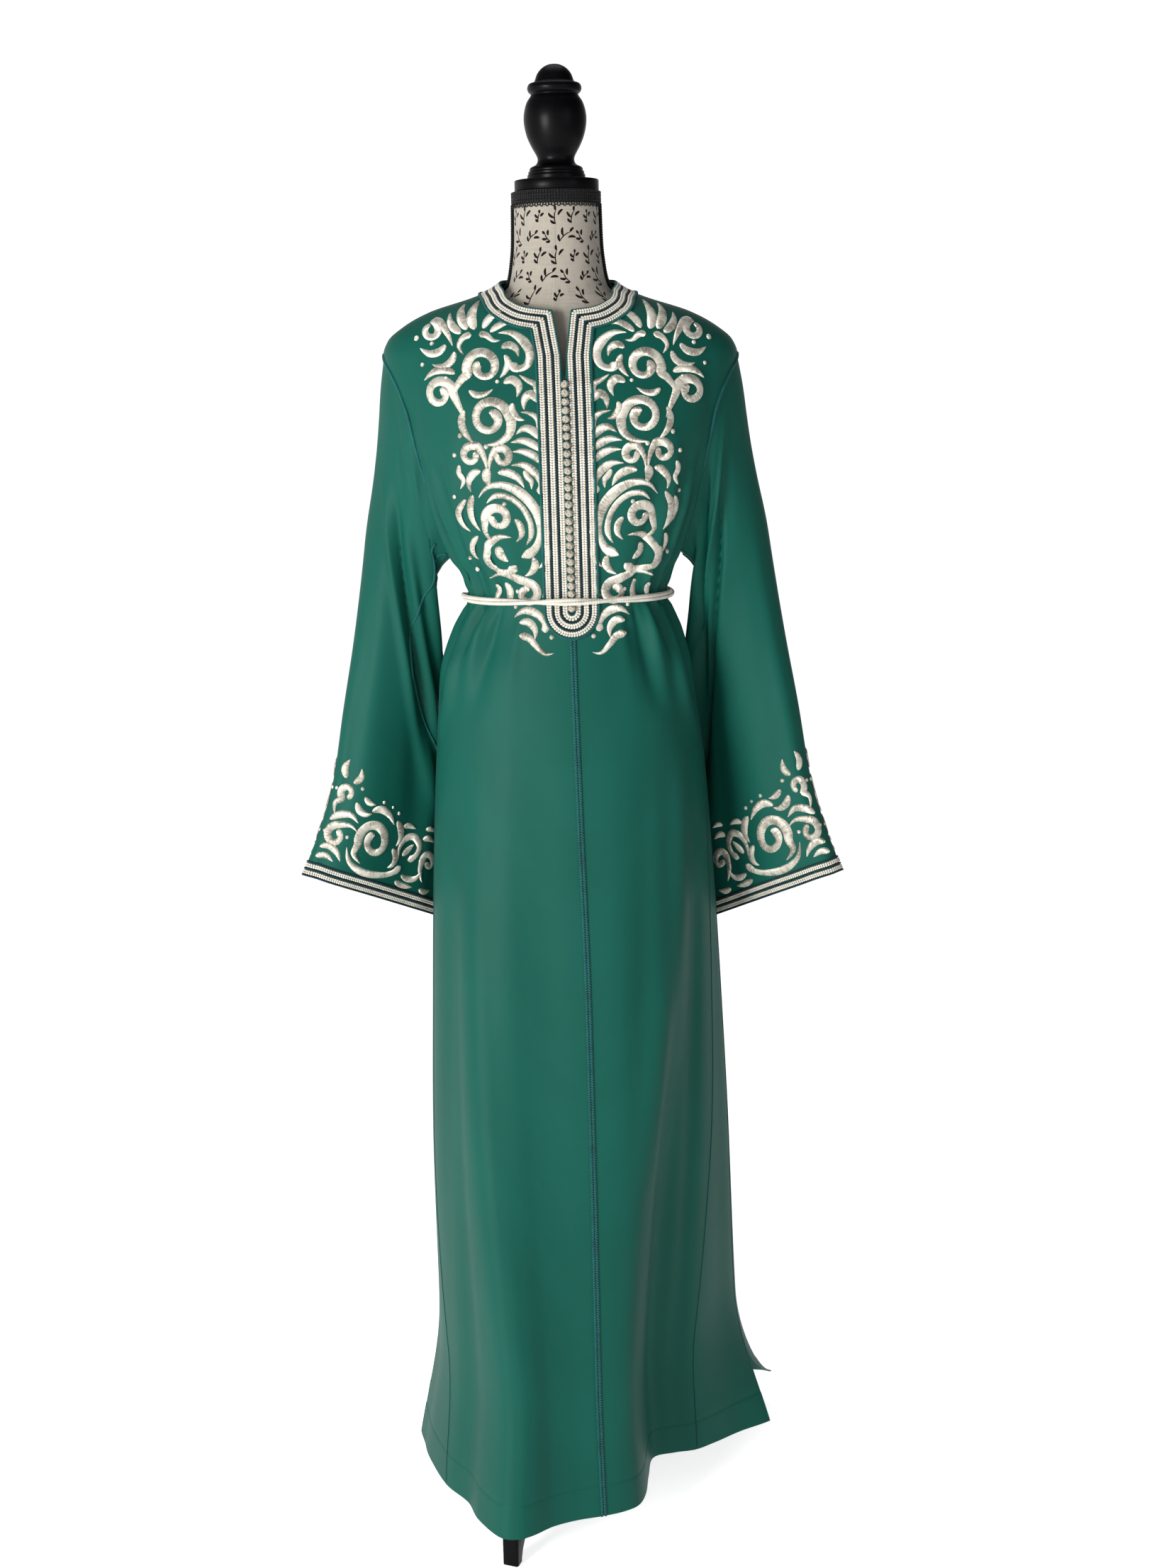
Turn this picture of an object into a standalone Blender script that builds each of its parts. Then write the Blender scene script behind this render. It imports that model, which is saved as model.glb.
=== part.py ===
"""Long kaftan with its cord belt, worn on a limbless dress form with a tripod.

Metres, +Z up.  The front looks along -Y and +X is on the right of a viewer who
stands in front.  The origin is on the floor under the middle of the model's box.

The garment is a set of cloth walls.  Each wall is read from one smooth surface:
body_point(u, z) for the fronts, gores and back, and sleeve_point(side, phi, w)
for the sleeves.  u runs once round the body (0 centre front, 0.25 the side on
+X, 0.5 centre back) and z is the height, so a seam is a line u(z).
"""
import math

import bmesh
import bpy
from mathutils import Vector

for old in list(bpy.data.objects):
    bpy.data.objects.remove(old, do_unlink=True)

# ------------------------------------------------------------------ driving sizes
SHIFT = Vector((-0.0001, -0.0090, 0.0))   # puts the box's middle over the origin
CLOTH = 0.0015            # cloth wall
SEAM = 0.0004             # gap between two pieces at a seam
HEM_Z = 0.042             # hem above the floor
SLIT_TOP = 0.23           # top of each side slit
UNDERARM_Z = 1.175        # lowest point of the armhole
TIP_Z = 1.405             # shoulder tip, top of the armhole
V_FOOT_Z = 1.3746         # foot of the neck slit
V_HALF = 0.008            # half width of the neck slit at the neckline
U_TURN_Z = 1.116          # middle of the braid's turn at the placket's foot
BRAID_W, BRAID_T = 0.0062, 0.0014
BRAID_FIRST, BRAID_PITCH, BRAID_ROWS = 0.0033, 0.00915, 3
CHANNEL = 0.0041          # half width of the button channel
BUTTON_R, BUTTON_PITCH, BUTTON_TOP, BUTTONS = 0.0042, 0.0093, 1.3700, 26
BELT_R, BELT_Z = 0.0036, 1.1262
CORD_W, CORD_T = 0.0066, 0.0012

# ------------------------------------------------------------------ colours
GREEN = (0.030, 0.150, 0.108)
CREAM = (0.72, 0.68, 0.58)
TEAL = (0.004, 0.075, 0.075)
LINEN = (0.66, 0.60, 0.50)
BLACK = (0.006, 0.006, 0.007)


def material(name, colour, rough, metallic=0.0):
    mat = bpy.data.materials.new(name)
    mat.use_nodes = True
    bsdf = mat.node_tree.nodes["Principled BSDF"]
    bsdf.inputs["Base Color"].default_value = (*colour, 1.0)
    bsdf.inputs["Roughness"].default_value = rough
    bsdf.inputs["Metallic"].default_value = metallic
    return mat


# ------------------------------------------------------------------ small tools
def ramp(a, b, x):
    t = min(1.0, max(0.0, (x - a) / (b - a)))
    return t * t * (3.0 - 2.0 * t)


def curve(table, x, column):
    """Smooth value of one column of a table whose first column rises."""
    n = len(table)
    if x <= table[0][0]:
        return table[0][column]
    if x >= table[-1][0]:
        return table[-1][column]
    i = 0
    while x > table[i + 1][0]:
        i += 1
    x0, x1 = table[i][0], table[i + 1][0]
    y0, y1 = table[i][column], table[i + 1][column]
    h = x1 - x0
    d = (y1 - y0) / h

    def slope(k):
        if k == 0 or k == n - 1:
            return d
        a = (table[k][column] - table[k - 1][column]) / (table[k][0] - table[k - 1][0])
        b = (table[k + 1][column] - table[k][column]) / (table[k + 1][0] - table[k][0])
        if a * b <= 0.0:
            return 0.0
        return 2.0 * a * b / (a + b)

    m0, m1 = slope(i), slope(i + 1)
    t = (x - x0) / h
    return ((2 * t ** 3 - 3 * t ** 2 + 1) * y0 + (t ** 3 - 2 * t ** 2 + t) * h * m0
            + (3 * t ** 2 - 2 * t ** 3) * y1 + (t ** 3 - t ** 2) * h * m1)


def ring_curve(table, u, column):
    """Smooth value round a closed ring, table rows (name, u, x, y) rising in u."""
    n = len(table)
    u = u % 1.0
    i = n - 1
    for k in range(n - 1):
        if table[k][1] <= u < table[k + 1][1]:
            i = k
            break

    def knot(k):
        turns, k = divmod(k, n)
        return table[k][1] + turns, table[k][column]

    (xa, ya), (x0, y0), (x1, y1), (xb, yb) = knot(i - 1), knot(i), knot(i + 1), knot(i + 2)
    h = x1 - x0
    m0 = (y1 - ya) / (x1 - xa)
    m1 = (yb - y0) / (xb - x0)
    t = (u - x0) / h
    return ((2 * t ** 3 - 3 * t ** 2 + 1) * y0 + (t ** 3 - 2 * t ** 2 + t) * h * m0
            + (3 * t ** 2 - 2 * t ** 3) * y1 + (t ** 3 - t ** 2) * h * m1)


# ------------------------------------------------------------------ body surface
# z, half width, front depth, back depth, middle x, middle y
SECTIONS = [
    (0.042, 0.212, 0.190, 0.215, 0.008, 0.010),
    (0.200, 0.187, 0.178, 0.200, 0.006, 0.010),
    (0.430, 0.184, 0.166, 0.186, 0.003, 0.010),
    (0.640, 0.1765, 0.151, 0.172, 0.002, 0.010),
    (0.800, 0.169, 0.138, 0.160, 0.001, 0.010),
    (0.930, 0.160, 0.128, 0.148, 0.000, 0.008),
    (1.040, 0.1465, 0.116, 0.128, -0.002, 0.005),
    (1.085, 0.1320, 0.108, 0.112, 0.000, 0.003),
    (1.128, 0.1165, 0.101, 0.100, 0.002, 0.000),
    (1.160, 0.1240, 0.106, 0.104, 0.002, 0.000),
    (1.175, 0.1330, 0.109, 0.107, 0.001, 0.000),
    (1.205, 0.1440, 0.115, 0.109, 0.000, 0.000),
    (1.250, 0.1620, 0.124, 0.112, 0.000, 0.000),
    (1.300, 0.1790, 0.127, 0.114, 0.000, 0.000),
    (1.345, 0.1920, 0.120, 0.114, 0.000, 0.000),
    (1.380, 0.2005, 0.108, 0.107, 0.000, 0.000),
    (1.405, 0.2045, 0.097, 0.098, 0.000, 0.000),
    (1.420, 0.1990, 0.090, 0.091, 0.000, 0.000),
    (1.4365, 0.1800, 0.082, 0.083, 0.000, 0.000),
    (1.4525, 0.1500, 0.073, 0.074, 0.000, 0.000),
    (1.469, 0.0990, 0.064, 0.063, 0.000, 0.000),
    (1.478, 0.0770, 0.0600, 0.0575, -0.001, 0.000),
    (1.489, 0.0615, 0.0570, 0.0530, -0.001, 0.000),
]
# the hem as it hangs, seen from above: name, u, x, y
HEM = [
    ("centre seam", 0.000, 0.0205, -0.1840),
    ("front right", 0.035, 0.0470, -0.1735),
    ("before the fold", 0.060, 0.0640, -0.1590),
    ("fold edge", 0.078, 0.0725, -0.1330),
    ("inside the fold", 0.098, 0.0770, -0.0897),
    ("fold root", 0.120, 0.0840, -0.0450),
    ("recess", 0.145, 0.1110, -0.0324),
    ("gore seam right", 0.170, 0.1400, -0.0250),
    ("gore right", 0.195, 0.1641, -0.0050),
    ("gore right outer", 0.222, 0.1930, 0.0400),
    ("slit right", 0.250, 0.2240, 0.0950),
    ("back gore right", 0.280, 0.2270, 0.1600),
    ("back seam right", 0.320, 0.2060, 0.2120),
    ("back fold 1", 0.365, 0.1540, 0.2460),
    ("back dip 1", 0.405, 0.1080, 0.2260),
    ("back fold 2", 0.450, 0.0520, 0.2520),
    ("back dip 2", 0.500, -0.0020, 0.2300),
    ("back fold 3", 0.550, -0.0540, 0.2500),
    ("back dip 3", 0.600, -0.1060, 0.2220),
    ("back fold 4", 0.640, -0.1480, 0.2320),
    ("back seam left", 0.685, -0.1860, 0.1960),
    ("back gore left", 0.720, -0.2040, 0.1480),
    ("slit left", 0.750, -0.2090, 0.0850),
    ("gore left outer", 0.778, -0.2045, 0.0280),
    ("gore left", 0.805, -0.1965, -0.0300),
    ("gore seam left", 0.830, -0.1720, -0.1000),
    ("left of the ridge", 0.852, -0.1424, -0.1455),
    ("ridge shoulder", 0.868, -0.1290, -0.1850),
    ("ridge left", 0.885, -0.1022, -0.2271),
    ("ridge", 0.903, -0.0809, -0.2337),
    ("right of the ridge", 0.922, -0.0630, -0.2258),
    ("hollow", 0.945, -0.0400, -0.2064),
    ("by the seam", 0.972, -0.0120, -0.1930),
]
# how far each slit's corner swings out of the closed hem:
# name, u of the slit, side, dx, dy, how late it opens
FLAPS = [
    ("front right", 0.250, -1, 0.0150, -0.048, 1.4),
    ("back right", 0.250, 1, 0.0280, 0.095, 3.4),
    ("back left", 0.750, -1, -0.0010, 0.041, 1.4),
    ("front left", 0.750, 1, -0.0030, -0.046, 1.4),
]
# soft folds: name, u at the top, z top, u at the foot, z foot, half width in u, height
FOLDS = [
    ("bust right", 0.078, 1.395, 0.078, 1.165, 0.050, 0.0070),
    ("bust left", -0.078, 1.395, -0.078, 1.165, 0.050, 0.0070),
    ("side pleat left 1", -0.158, 1.290, -0.140, 1.110, 0.013, 0.0060),
    ("side pleat left 2", -0.192, 1.255, -0.185, 1.100, 0.013, 0.0050),
    ("side groove left", -0.174, 1.285, -0.164, 1.105, 0.010, -0.0050),
    ("side pleat right 1", 0.160, 1.285, 0.146, 1.110, 0.013, 0.0060),
    ("side pleat right 2", 0.194, 1.250, 0.186, 1.100, 0.013, 0.0050),
    ("side groove right", 0.177, 1.285, 0.168, 1.105, 0.010, -0.0050),
    ("hip pleat left", -0.120, 1.135, -0.205, 0.960, 0.018, 0.0060),
    ("hip hollow left", -0.092, 1.130, -0.130, 0.985, 0.018, -0.0040),
    ("hip pleat right", 0.120, 1.135, 0.200, 0.960, 0.018, 0.0060),
    ("hip hollow right", 0.090, 1.130, 0.130, 0.985, 0.018, -0.0040),
    ("back pleat 1", 0.315, 1.270, 0.330, 0.980, 0.016, 0.0060),
    ("back pleat 2", 0.370, 1.230, 0.380, 0.900, 0.016, 0.0060),
    ("back pleat 3", 0.425, 1.210, 0.440, 0.960, 0.015, 0.0050),
    ("back pleat 4", 0.560, 1.230, 0.552, 0.920, 0.016, 0.0060),
    ("back pleat 5", 0.622, 1.260, 0.610, 0.900, 0.016, 0.0060),
    ("back pleat 6", 0.680, 1.250, 0.664, 0.980, 0.016, 0.0050),
    ("skirt ridge left", -0.128, 0.820, -0.108, 0.200, 0.022, 0.0060),
    ("skirt ridge right", 0.150, 0.960, 0.092, 0.420, 0.020, 0.0070),
]
# z, u of the seam between front panel and gore
GORE_SEAM = [(0.042, 0.170), (0.160, 0.180), (0.300, 0.196), (0.570, 0.218),
             (0.800, 0.222), (1.000, 0.226), (1.175, 0.2333)]
# z, angle of the front armhole edge, angle of the back one (degrees from the middle)
ARMHOLE = [(1.175, 84.0, 84.0), (1.197, 77.0, 78.0), (1.220, 72.0, 74.0),
           (1.248, 69.5, 71.0), (1.275, 68.0, 68.0), (1.305, 66.0, 65.0),
           (1.335, 65.0, 64.0), (1.362, 68.0, 67.0), (1.385, 75.0, 74.0),
           (1.405, 90.0, 90.0)]
# angle round the neck, height of the neckline
NECKLINE = [(0.0, 1.4515), (14.0, 1.4550), (26.0, 1.4620), (53.0, 1.4770),
            (90.0, 1.4860), (135.0, 1.4885), (180.0, 1.4890)]
# z, x of the centre-front line
CENTRE_X = [(0.042, 0.0205), (0.200, 0.0175), (0.420, 0.0172), (0.660, 0.0158),
            (0.900, 0.0105), (1.090, 0.0072), (1.320, 0.0056), (1.455, 0.0027)]


def section(u, z):
    """Plain oval section, before the hem's shape and the folds."""
    a = 2.0 * math.pi * u
    s, c = math.sin(a), math.cos(a)
    half, front, back, mx, my = (curve(SECTIONS, z, k) for k in range(1, 6))
    square = 1.0 + 0.035 * ramp(1.43, 1.30, z) * math.sin(2.0 * a) ** 2
    depth = front if c > 0.0 else back
    return mx + half * square * s, my - depth * square * c


def hem_share(z):
    return max(0.0, (1.02 - z) / (1.02 - HEM_Z)) ** 1.45


def plain_body(u, z):
    x, y = section(u, z)
    g = hem_share(z)
    if g > 0.0:
        uu = u % 1.0
        if uu < 0.25:
            lift = min(1.0, max(0.0, (z - 0.10) / 0.55))
            uu = uu - 0.034 * lift * lift * math.sin(math.pi * uu / 0.25)
        hx, hy = ring_curve(HEM, uu, 2), ring_curve(HEM, uu, 3)
        ex, ey = section(uu, HEM_Z)
        x += g * (hx - ex)
        y += g * (hy - ey)
    return x, y


def body_point(u, z, side=0):
    """Outer cloth surface.  side says which flap of a slit u belongs to."""
    x, y = plain_body(u, z)
    for name, u0, z0, u1, z1, wide, high in FOLDS:
        if not z1 < z < z0:
            continue
        t = (z0 - z) / (z0 - z1)
        off = (u - (u0 + (u1 - u0) * t) + 0.5) % 1.0 - 0.5
        if abs(off) > 3.0 * wide:
            continue
        h = high * math.exp(-(off / wide) ** 2) * math.sin(math.pi * t) ** 0.8
        h *= 1.0 - math.exp(-((z - BELT_Z) / 0.022) ** 2)      # the belt holds them flat
        e = 0.002
        ax, ay = plain_body(u - e, z)
        bx, by = plain_body(u + e, z)
        tx, ty = bx - ax, by - ay
        n = math.hypot(tx, ty) or 1.0
        x += h * ty / n
        y -= h * tx / n
    if z < SLIT_TOP:
        for name, uf, way, dx, dy, late in FLAPS:
            open_ = ((SLIT_TOP - z) / (SLIT_TOP - HEM_Z)) ** late
            d = (u - uf + 0.5) % 1.0 - 0.5
            if side == way or (side == 0 and d * way > 1e-9):
                if -1e-9 <= d * way < 0.065:
                    f = open_ * (1.0 - d * way / 0.065) ** 1.6
                    x += f * dx
                    y += f * dy
    drop = 0.016 * x * ramp(1.30, 1.42, z)
    return Vector((x, y, z - drop))


def body_normal(u, z, side=0):
    eu, ez = 0.0015, 0.002
    if side:
        inner = 0.003 * side
        a = body_point(u, z, side)
        b = body_point(u + inner, z, side)
        du = (b - a) * side
    else:
        du = body_point(u + eu, z) - body_point(u - eu, z)
    z_up = min(z + ez, SECTIONS[-1][0])
    z_dn = max(z - ez, HEM_Z)
    dz = body_point(u, z_up, side) - body_point(u, z_dn, side)
    n = du.cross(dz)
    n.normalize()
    return n


def neck_z(u):
    a = abs(((u + 0.5) % 1.0) - 0.5) * 360.0
    return curve(NECKLINE, a, 1)


def u_at_x(x, z):
    """u near the centre front whose point lies at x."""
    u = 0.0
    for _ in range(6):
        px = body_point(u, z).x
        slope = (body_point(u + 0.002, z).x - body_point(u - 0.002, z).x) / 0.004
        u += (x - px) / slope
    return u


def centre_half(z):
    """Half opening between the fronts."""
    if z <= V_FOOT_Z:
        return SEAM / 2
    return max(SEAM / 2, V_HALF * (z - V_FOOT_Z) / (1.4515 - V_FOOT_Z))


# ------------------------------------------------------------------ mesh helpers
def finish_mesh(name, verts, faces, mat, smooth=True, sharp=40.0):
    mesh = bpy.data.meshes.new(name)
    bm = bmesh.new()
    made = [bm.verts.new(v) for v in verts]
    for f in faces:
        bm.faces.new([made[i] for i in f])
    bmesh.ops.recalc_face_normals(bm, faces=bm.faces)
    if bm.calc_volume(signed=True) < 0.0:
        bmesh.ops.reverse_faces(bm, faces=bm.faces)
    centre = sum((v.co for v in bm.verts), Vector()) / len(bm.verts)
    for v in bm.verts:
        v.co -= centre
    bm.to_mesh(mesh)
    bm.free()
    mesh.materials.append(mat)
    if smooth:
        mesh.shade_smooth()
        mesh.set_sharp_from_angle(angle=math.radians(sharp))
    ob = bpy.data.objects.new(name, mesh)
    ob.location = centre + SHIFT
    bpy.context.scene.collection.objects.link(ob)
    return ob


def shell(name, outer, normals, mat, wrap=False):
    """A cloth wall: a grid of outer points, and the same grid moved inwards."""
    rows, cols = len(outer), len(outer[0])
    verts = [p for row in outer for p in row]
    verts += [outer[i][j] - normals[i][j] * CLOTH for i in range(rows) for j in range(cols)]
    half = rows * cols

    def vid(i, j, inner=0):
        return inner * half + i * cols + (j % cols if wrap else j)

    faces = []
    for i in range(rows - 1):
        for j in range(cols if wrap else cols - 1):
            a, b, c, d = vid(i, j), vid(i, j + 1), vid(i + 1, j + 1), vid(i + 1, j)
            # both faces of the wall are split along the same diagonal
            if (verts[a] - verts[c]).length < (verts[b] - verts[d]).length:
                cut = ((a, b, c), (a, c, d))
            else:
                cut = ((a, b, d), (b, c, d))
            for f in cut:
                faces.append(f)
                faces.append(tuple(k + half for k in reversed(f)))
    for j in range(cols if wrap else cols - 1):
        for i in (0, rows - 1):
            faces.append((vid(i, j), vid(i, j + 1), vid(i, j + 1, 1), vid(i, j, 1)))
    if not wrap:
        for i in range(rows - 1):
            for j in (0, cols - 1):
                faces.append((vid(i, j), vid(i + 1, j), vid(i + 1, j, 1), vid(i, j, 1)))
    return finish_mesh(name, verts, faces, mat, sharp=50.0)


def sweep(name, path, normals, wide, thick, mat, closed, lift=0.0004):
    """A flat band that lies on the cloth; path points are on the outer surface."""
    n = len(path)
    verts, faces = [], []
    for i in range(n):
        p = path[i]
        before = path[i - 1] if (closed or i) else None
        after = path[(i + 1) % n] if (closed or i < n - 1) else None
        ta = (p - before).normalized() if before is not None else None
        tb = (after - p).normalized() if after is not None else None
        t = (ta + tb).normalized() if ta is not None and tb is not None else (ta or tb)
        nor = normals[i]
        side = t.cross(nor).normalized()
        mitre = 1.0
        if ta is not None and tb is not None:
            mitre = min(1.5, 1.0 / max(0.5, t.dot(tb)))
        w = side * (wide / 2 * mitre)
        lo, hi = p + nor * lift, p + nor * (lift + thick)
        verts += [lo - w, lo + w, hi + w, hi - w]
    for i in range(n if closed else n - 1):
        a, b = 4 * i, 4 * ((i + 1) % n)
        for k in range(4):
            m = (k + 1) % 4
            faces.append((a + k, a + m, b + m, b + k))
    if not closed:
        faces.append((0, 1, 2, 3))
        e = 4 * (n - 1)
        faces.append((e, e + 1, e + 2, e + 3))
    return finish_mesh(name, verts, faces, mat, sharp=35.0)


def turned(name, profile, mat, steps=24, at=(0.0, 0.0)):
    """A turned piece from (radius, z) pairs, top to bottom; ends on the axis."""
    verts, faces, rings = [], [], []
    for r, z in profile:
        if r < 1e-6:
            rings.append([len(verts)])
            verts.append(Vector((at[0], at[1], z)))
        else:
            ring = []
            for k in range(steps):
                a = 2 * math.pi * k / steps
                ring.append(len(verts))
                verts.append(Vector((at[0] + r * math.cos(a), at[1] + r * math.sin(a), z)))
            rings.append(ring)
    for a, b in zip(rings, rings[1:]):
        for k in range(steps):
            m = (k + 1) % steps
            if len(a) == 1:
                faces.append((a[0], b[k], b[m]))
            elif len(b) == 1:
                faces.append((a[k], b[0], a[m]))
            else:
                faces.append((a[k], b[k], b[m], a[m]))
    return finish_mesh(name, verts, faces, mat, sharp=30.0)


# ------------------------------------------------------------------ body panels
TOP_ROWS = [0.0, 0.05, 0.11, 0.19, 0.34, 0.56, 0.80]
ARM_ROWS = [row[0] for row in reversed(ARMHOLE)]
SKIRT_ROWS = [1.152, 1.128, 1.100, 1.062, 1.010, 0.940, 0.860, 0.765, 0.660,
              0.550, 0.440, 0.330, 0.230, 0.165, 0.100, HEM_Z]
FRONT_COLS, GORE_COLS, BACK_COLS = 10, 3, 14


def arm_u(z, back=False):
    return curve(ARMHOLE, z, 2 if back else 1) / 360.0


def gap_u(u, z, gap):
    """The width gap, as a step of u, at one point."""
    d = (body_point(u + 0.001, z) - body_point(u - 0.001, z)).length / 0.002
    return gap / d


def front_panel(side):
    """side +1 on +X, -1 on -X.  Columns run from the centre front outwards."""
    grid, nor = [], []
    levels = [("top", t) for t in TOP_ROWS] + [("z", z) for z in ARM_ROWS + SKIRT_ROWS]
    for kind, val in levels:
        row, nrow = [], []
        for j in range(FRONT_COLS + 1):
            s = j / FRONT_COLS
            if kind == "top":
                zc = 1.4515 + (TIP_Z - 1.4515) * val
                u_in = u_at_x(curve(CENTRE_X, zc, 1) + side * centre_half(zc), zc)
                u_out = side * 0.25
                u_out -= side * gap_u(u_out, TIP_Z, SEAM / 2)
                u = u_in + (u_out - u_in) * s
                z = neck_z(u) + (TIP_Z - neck_z(u)) * val
            else:
                z = val
                u_in = u_at_x(curve(CENTRE_X, z, 1) + side * centre_half(z), z)
                if z >= UNDERARM_Z - 1e-9:
                    u_out = side * arm_u(z)
                else:
                    u_out = side * curve(GORE_SEAM, z, 1)
                u_out -= side * gap_u(u_out, z, SEAM / 2)
                u = u_in + (u_out - u_in) * s
            row.append(body_point(u, z))
            nrow.append(body_normal(u, z))
        grid.append(row)
        nor.append(nrow)
    return grid, nor


def back_panel():
    grid, nor = [], []
    levels = [("top", t) for t in TOP_ROWS] + [("z", z) for z in ARM_ROWS + SKIRT_ROWS]
    for kind, val in levels:
        row, nrow = [], []
        for j in range(BACK_COLS + 1):
            s = j / BACK_COLS
            if kind == "top":
                g = gap_u(0.25, TIP_Z, SEAM / 2)
                lo, hi = 0.25 + g, 0.75 - g
                u = lo + (hi - lo) * s
                z = neck_z(u) + (TIP_Z - neck_z(u)) * val
            else:
                z = val
                if z >= UNDERARM_Z - 1e-9:
                    e = 0.5 - arm_u(z, True)
                else:
                    e = 0.5 - curve(GORE_SEAM, z, 1)
                g = gap_u(e, z, SEAM / 2)
                lo, hi = e + g, 1.0 - e - g
                u = lo + (hi - lo) * s
            row.append(body_point(u, z))
            nrow.append(body_normal(u, z))
        grid.append(row)
        nor.append(nrow)
    return grid, nor


def gore_panel(side, back):
    """A gore from the underarm to the hem, between a seam and the side line."""
    grid, nor = [], []
    way = (1 if back else -1) * side          # which flap of the slit it belongs to
    for z in [UNDERARM_Z] + SKIRT_ROWS:
        e = curve(GORE_SEAM, z, 1)
        a = (0.5 - e) if back else e
        b = 0.25
        sgn = 1 if b > a else -1
        a += sgn * gap_u(side * a, z, SEAM / 2)
        b -= sgn * gap_u(side * b, max(z, SLIT_TOP), SEAM / 2)
        row, nrow = [], []
        for j in range(GORE_COLS + 1):
            u = side * (a + (b - a) * j / GORE_COLS)
            slit = z < SLIT_TOP and j == GORE_COLS
            row.append(body_point(u, z, way if slit else 0))
            nrow.append(body_normal(u, z, way if slit else 0))
        grid.append(row)
        nor.append(nrow)
    # along the open slit the wall is set off square to the grid itself
    last = len(grid) - 1
    for i, z in enumerate([UNDERARM_Z] + SKIRT_ROWS):
        if z >= SLIT_TOP:
            continue
        for j in (GORE_COLS - 1, GORE_COLS):
            along = grid[i][j] - grid[i][j - 1]
            down = grid[min(last, i + 1)][j] - grid[i - 1][j]
            n = along.cross(down).normalized()
            nor[i][j] = n if n.dot(nor[i][j - 1]) > 0.0 else -n
    return grid, nor


# ------------------------------------------------------------------ sleeves
# w, outer edge x y z, inner edge x y z, front bulge, back bulge
SLEEVE = [
    (0.000, 0.2045, 0.000, 1.405, 0.1345, 0.000, 1.175, 0.060, 0.060),
    (0.065, 0.2125, 0.002, 1.365, 0.1490, 0.010, 1.160, 0.060, 0.056),
    (0.150, 0.2200, 0.004, 1.310, 0.1580, 0.025, 1.138, 0.058, 0.052),
    (0.265, 0.2310, 0.006, 1.240, 0.1580, 0.048, 1.095, 0.052, 0.046),
    (0.395, 0.2435, 0.006, 1.160, 0.1530, 0.074, 1.035, 0.046, 0.040),
    (0.525, 0.2570, 0.006, 1.080, 0.1500, 0.098, 0.965, 0.041, 0.036),
    (0.670, 0.2735, 0.005, 0.990, 0.1500, 0.117, 0.885, 0.037, 0.033),
    (0.815, 0.2880, 0.004, 0.900, 0.1530, 0.130, 0.800, 0.035, 0.031),
    (0.905, 0.3040, 0.003, 0.845, 0.1560, 0.136, 0.748, 0.034, 0.031),
    (1.000, 0.3245, 0.002, 0.788, 0.1600, 0.140, 0.694, 0.034, 0.031),
]
# how each arm differs from the table: side, narrower by, inner edge out by, cuff higher by
ARM_TRIM = {1: (0.0030, 0.0050, -0.0055), -1: (0.0080, 0.0, 0.0030)}
# soft folds: name, side, phi and w at the top, phi and w at the foot, half width, height
SLEEVE_FOLDS = [
    ("groove right", 1, 0.300, 0.02, 0.350, 0.80, 0.040, -0.0150),
    ("band right", 1, 0.400, 0.02, 0.430, 0.85, 0.050, 0.0080),
    ("ridge left", -1, 0.150, 0.12, 0.345, 0.80, 0.045, 0.0080),
    ("seam valley left", -1, 0.420, 0.18, 0.390, 0.80, 0.050, -0.0150),
    ("back groove right", 1, 0.680, 0.06, 0.640, 0.85, 0.045, -0.0100),
    ("back groove left", -1, 0.700, 0.06, 0.660, 0.85, 0.045, -0.0100),
    ("elbow soft right", 1, 0.140, 0.40, 0.160, 1.30, 0.060, 0.0040),
    ("elbow soft left", -1, 0.120, 0.45, 0.150, 1.30, 0.060, 0.0040),
]


def armhole_point(side, phi):
    """phi 0 at the shoulder tip, 0.25 front, 0.5 underarm, 0.75 back."""
    phi = phi % 1.0
    back = phi > 0.5
    t = (1.0 - phi) * 2.0 if back else phi * 2.0          # 0 tip, 1 underarm
    n = len(ARM_ROWS) - 1
    k = t * n
    i = min(n - 1, int(k))
    z = ARM_ROWS[i] + (ARM_ROWS[i + 1] - ARM_ROWS[i]) * (k - i)
    a = arm_u(z, back)
    if t > 0.999:
        a = 0.25
    u = 0.5 - a if back else a
    return side * u, z


def sleeve_loop(phi, w):
    ox, oy, oz, ix, iy, iz, front, back = (curve(SLEEVE, w, k) for k in range(1, 9))
    a = 2.0 * math.pi * phi
    e = (1.0 - math.cos(a)) / 2.0
    dx, dy = ix - ox, iy - oy
    n = math.hypot(dx, dy)
    nx, ny = -dy / n, dx / n                               # points to the front
    if ny > 0.0:
        nx, ny = -nx, -ny
    s = math.sin(a)
    h = (front if s > 0 else -back) * abs(s) ** 0.9
    if s < 0:
        h = -back * abs(s) ** 0.9
    return Vector((ox + dx * e + nx * h, oy + dy * e + ny * h, oz + (iz - oz) * e))


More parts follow.
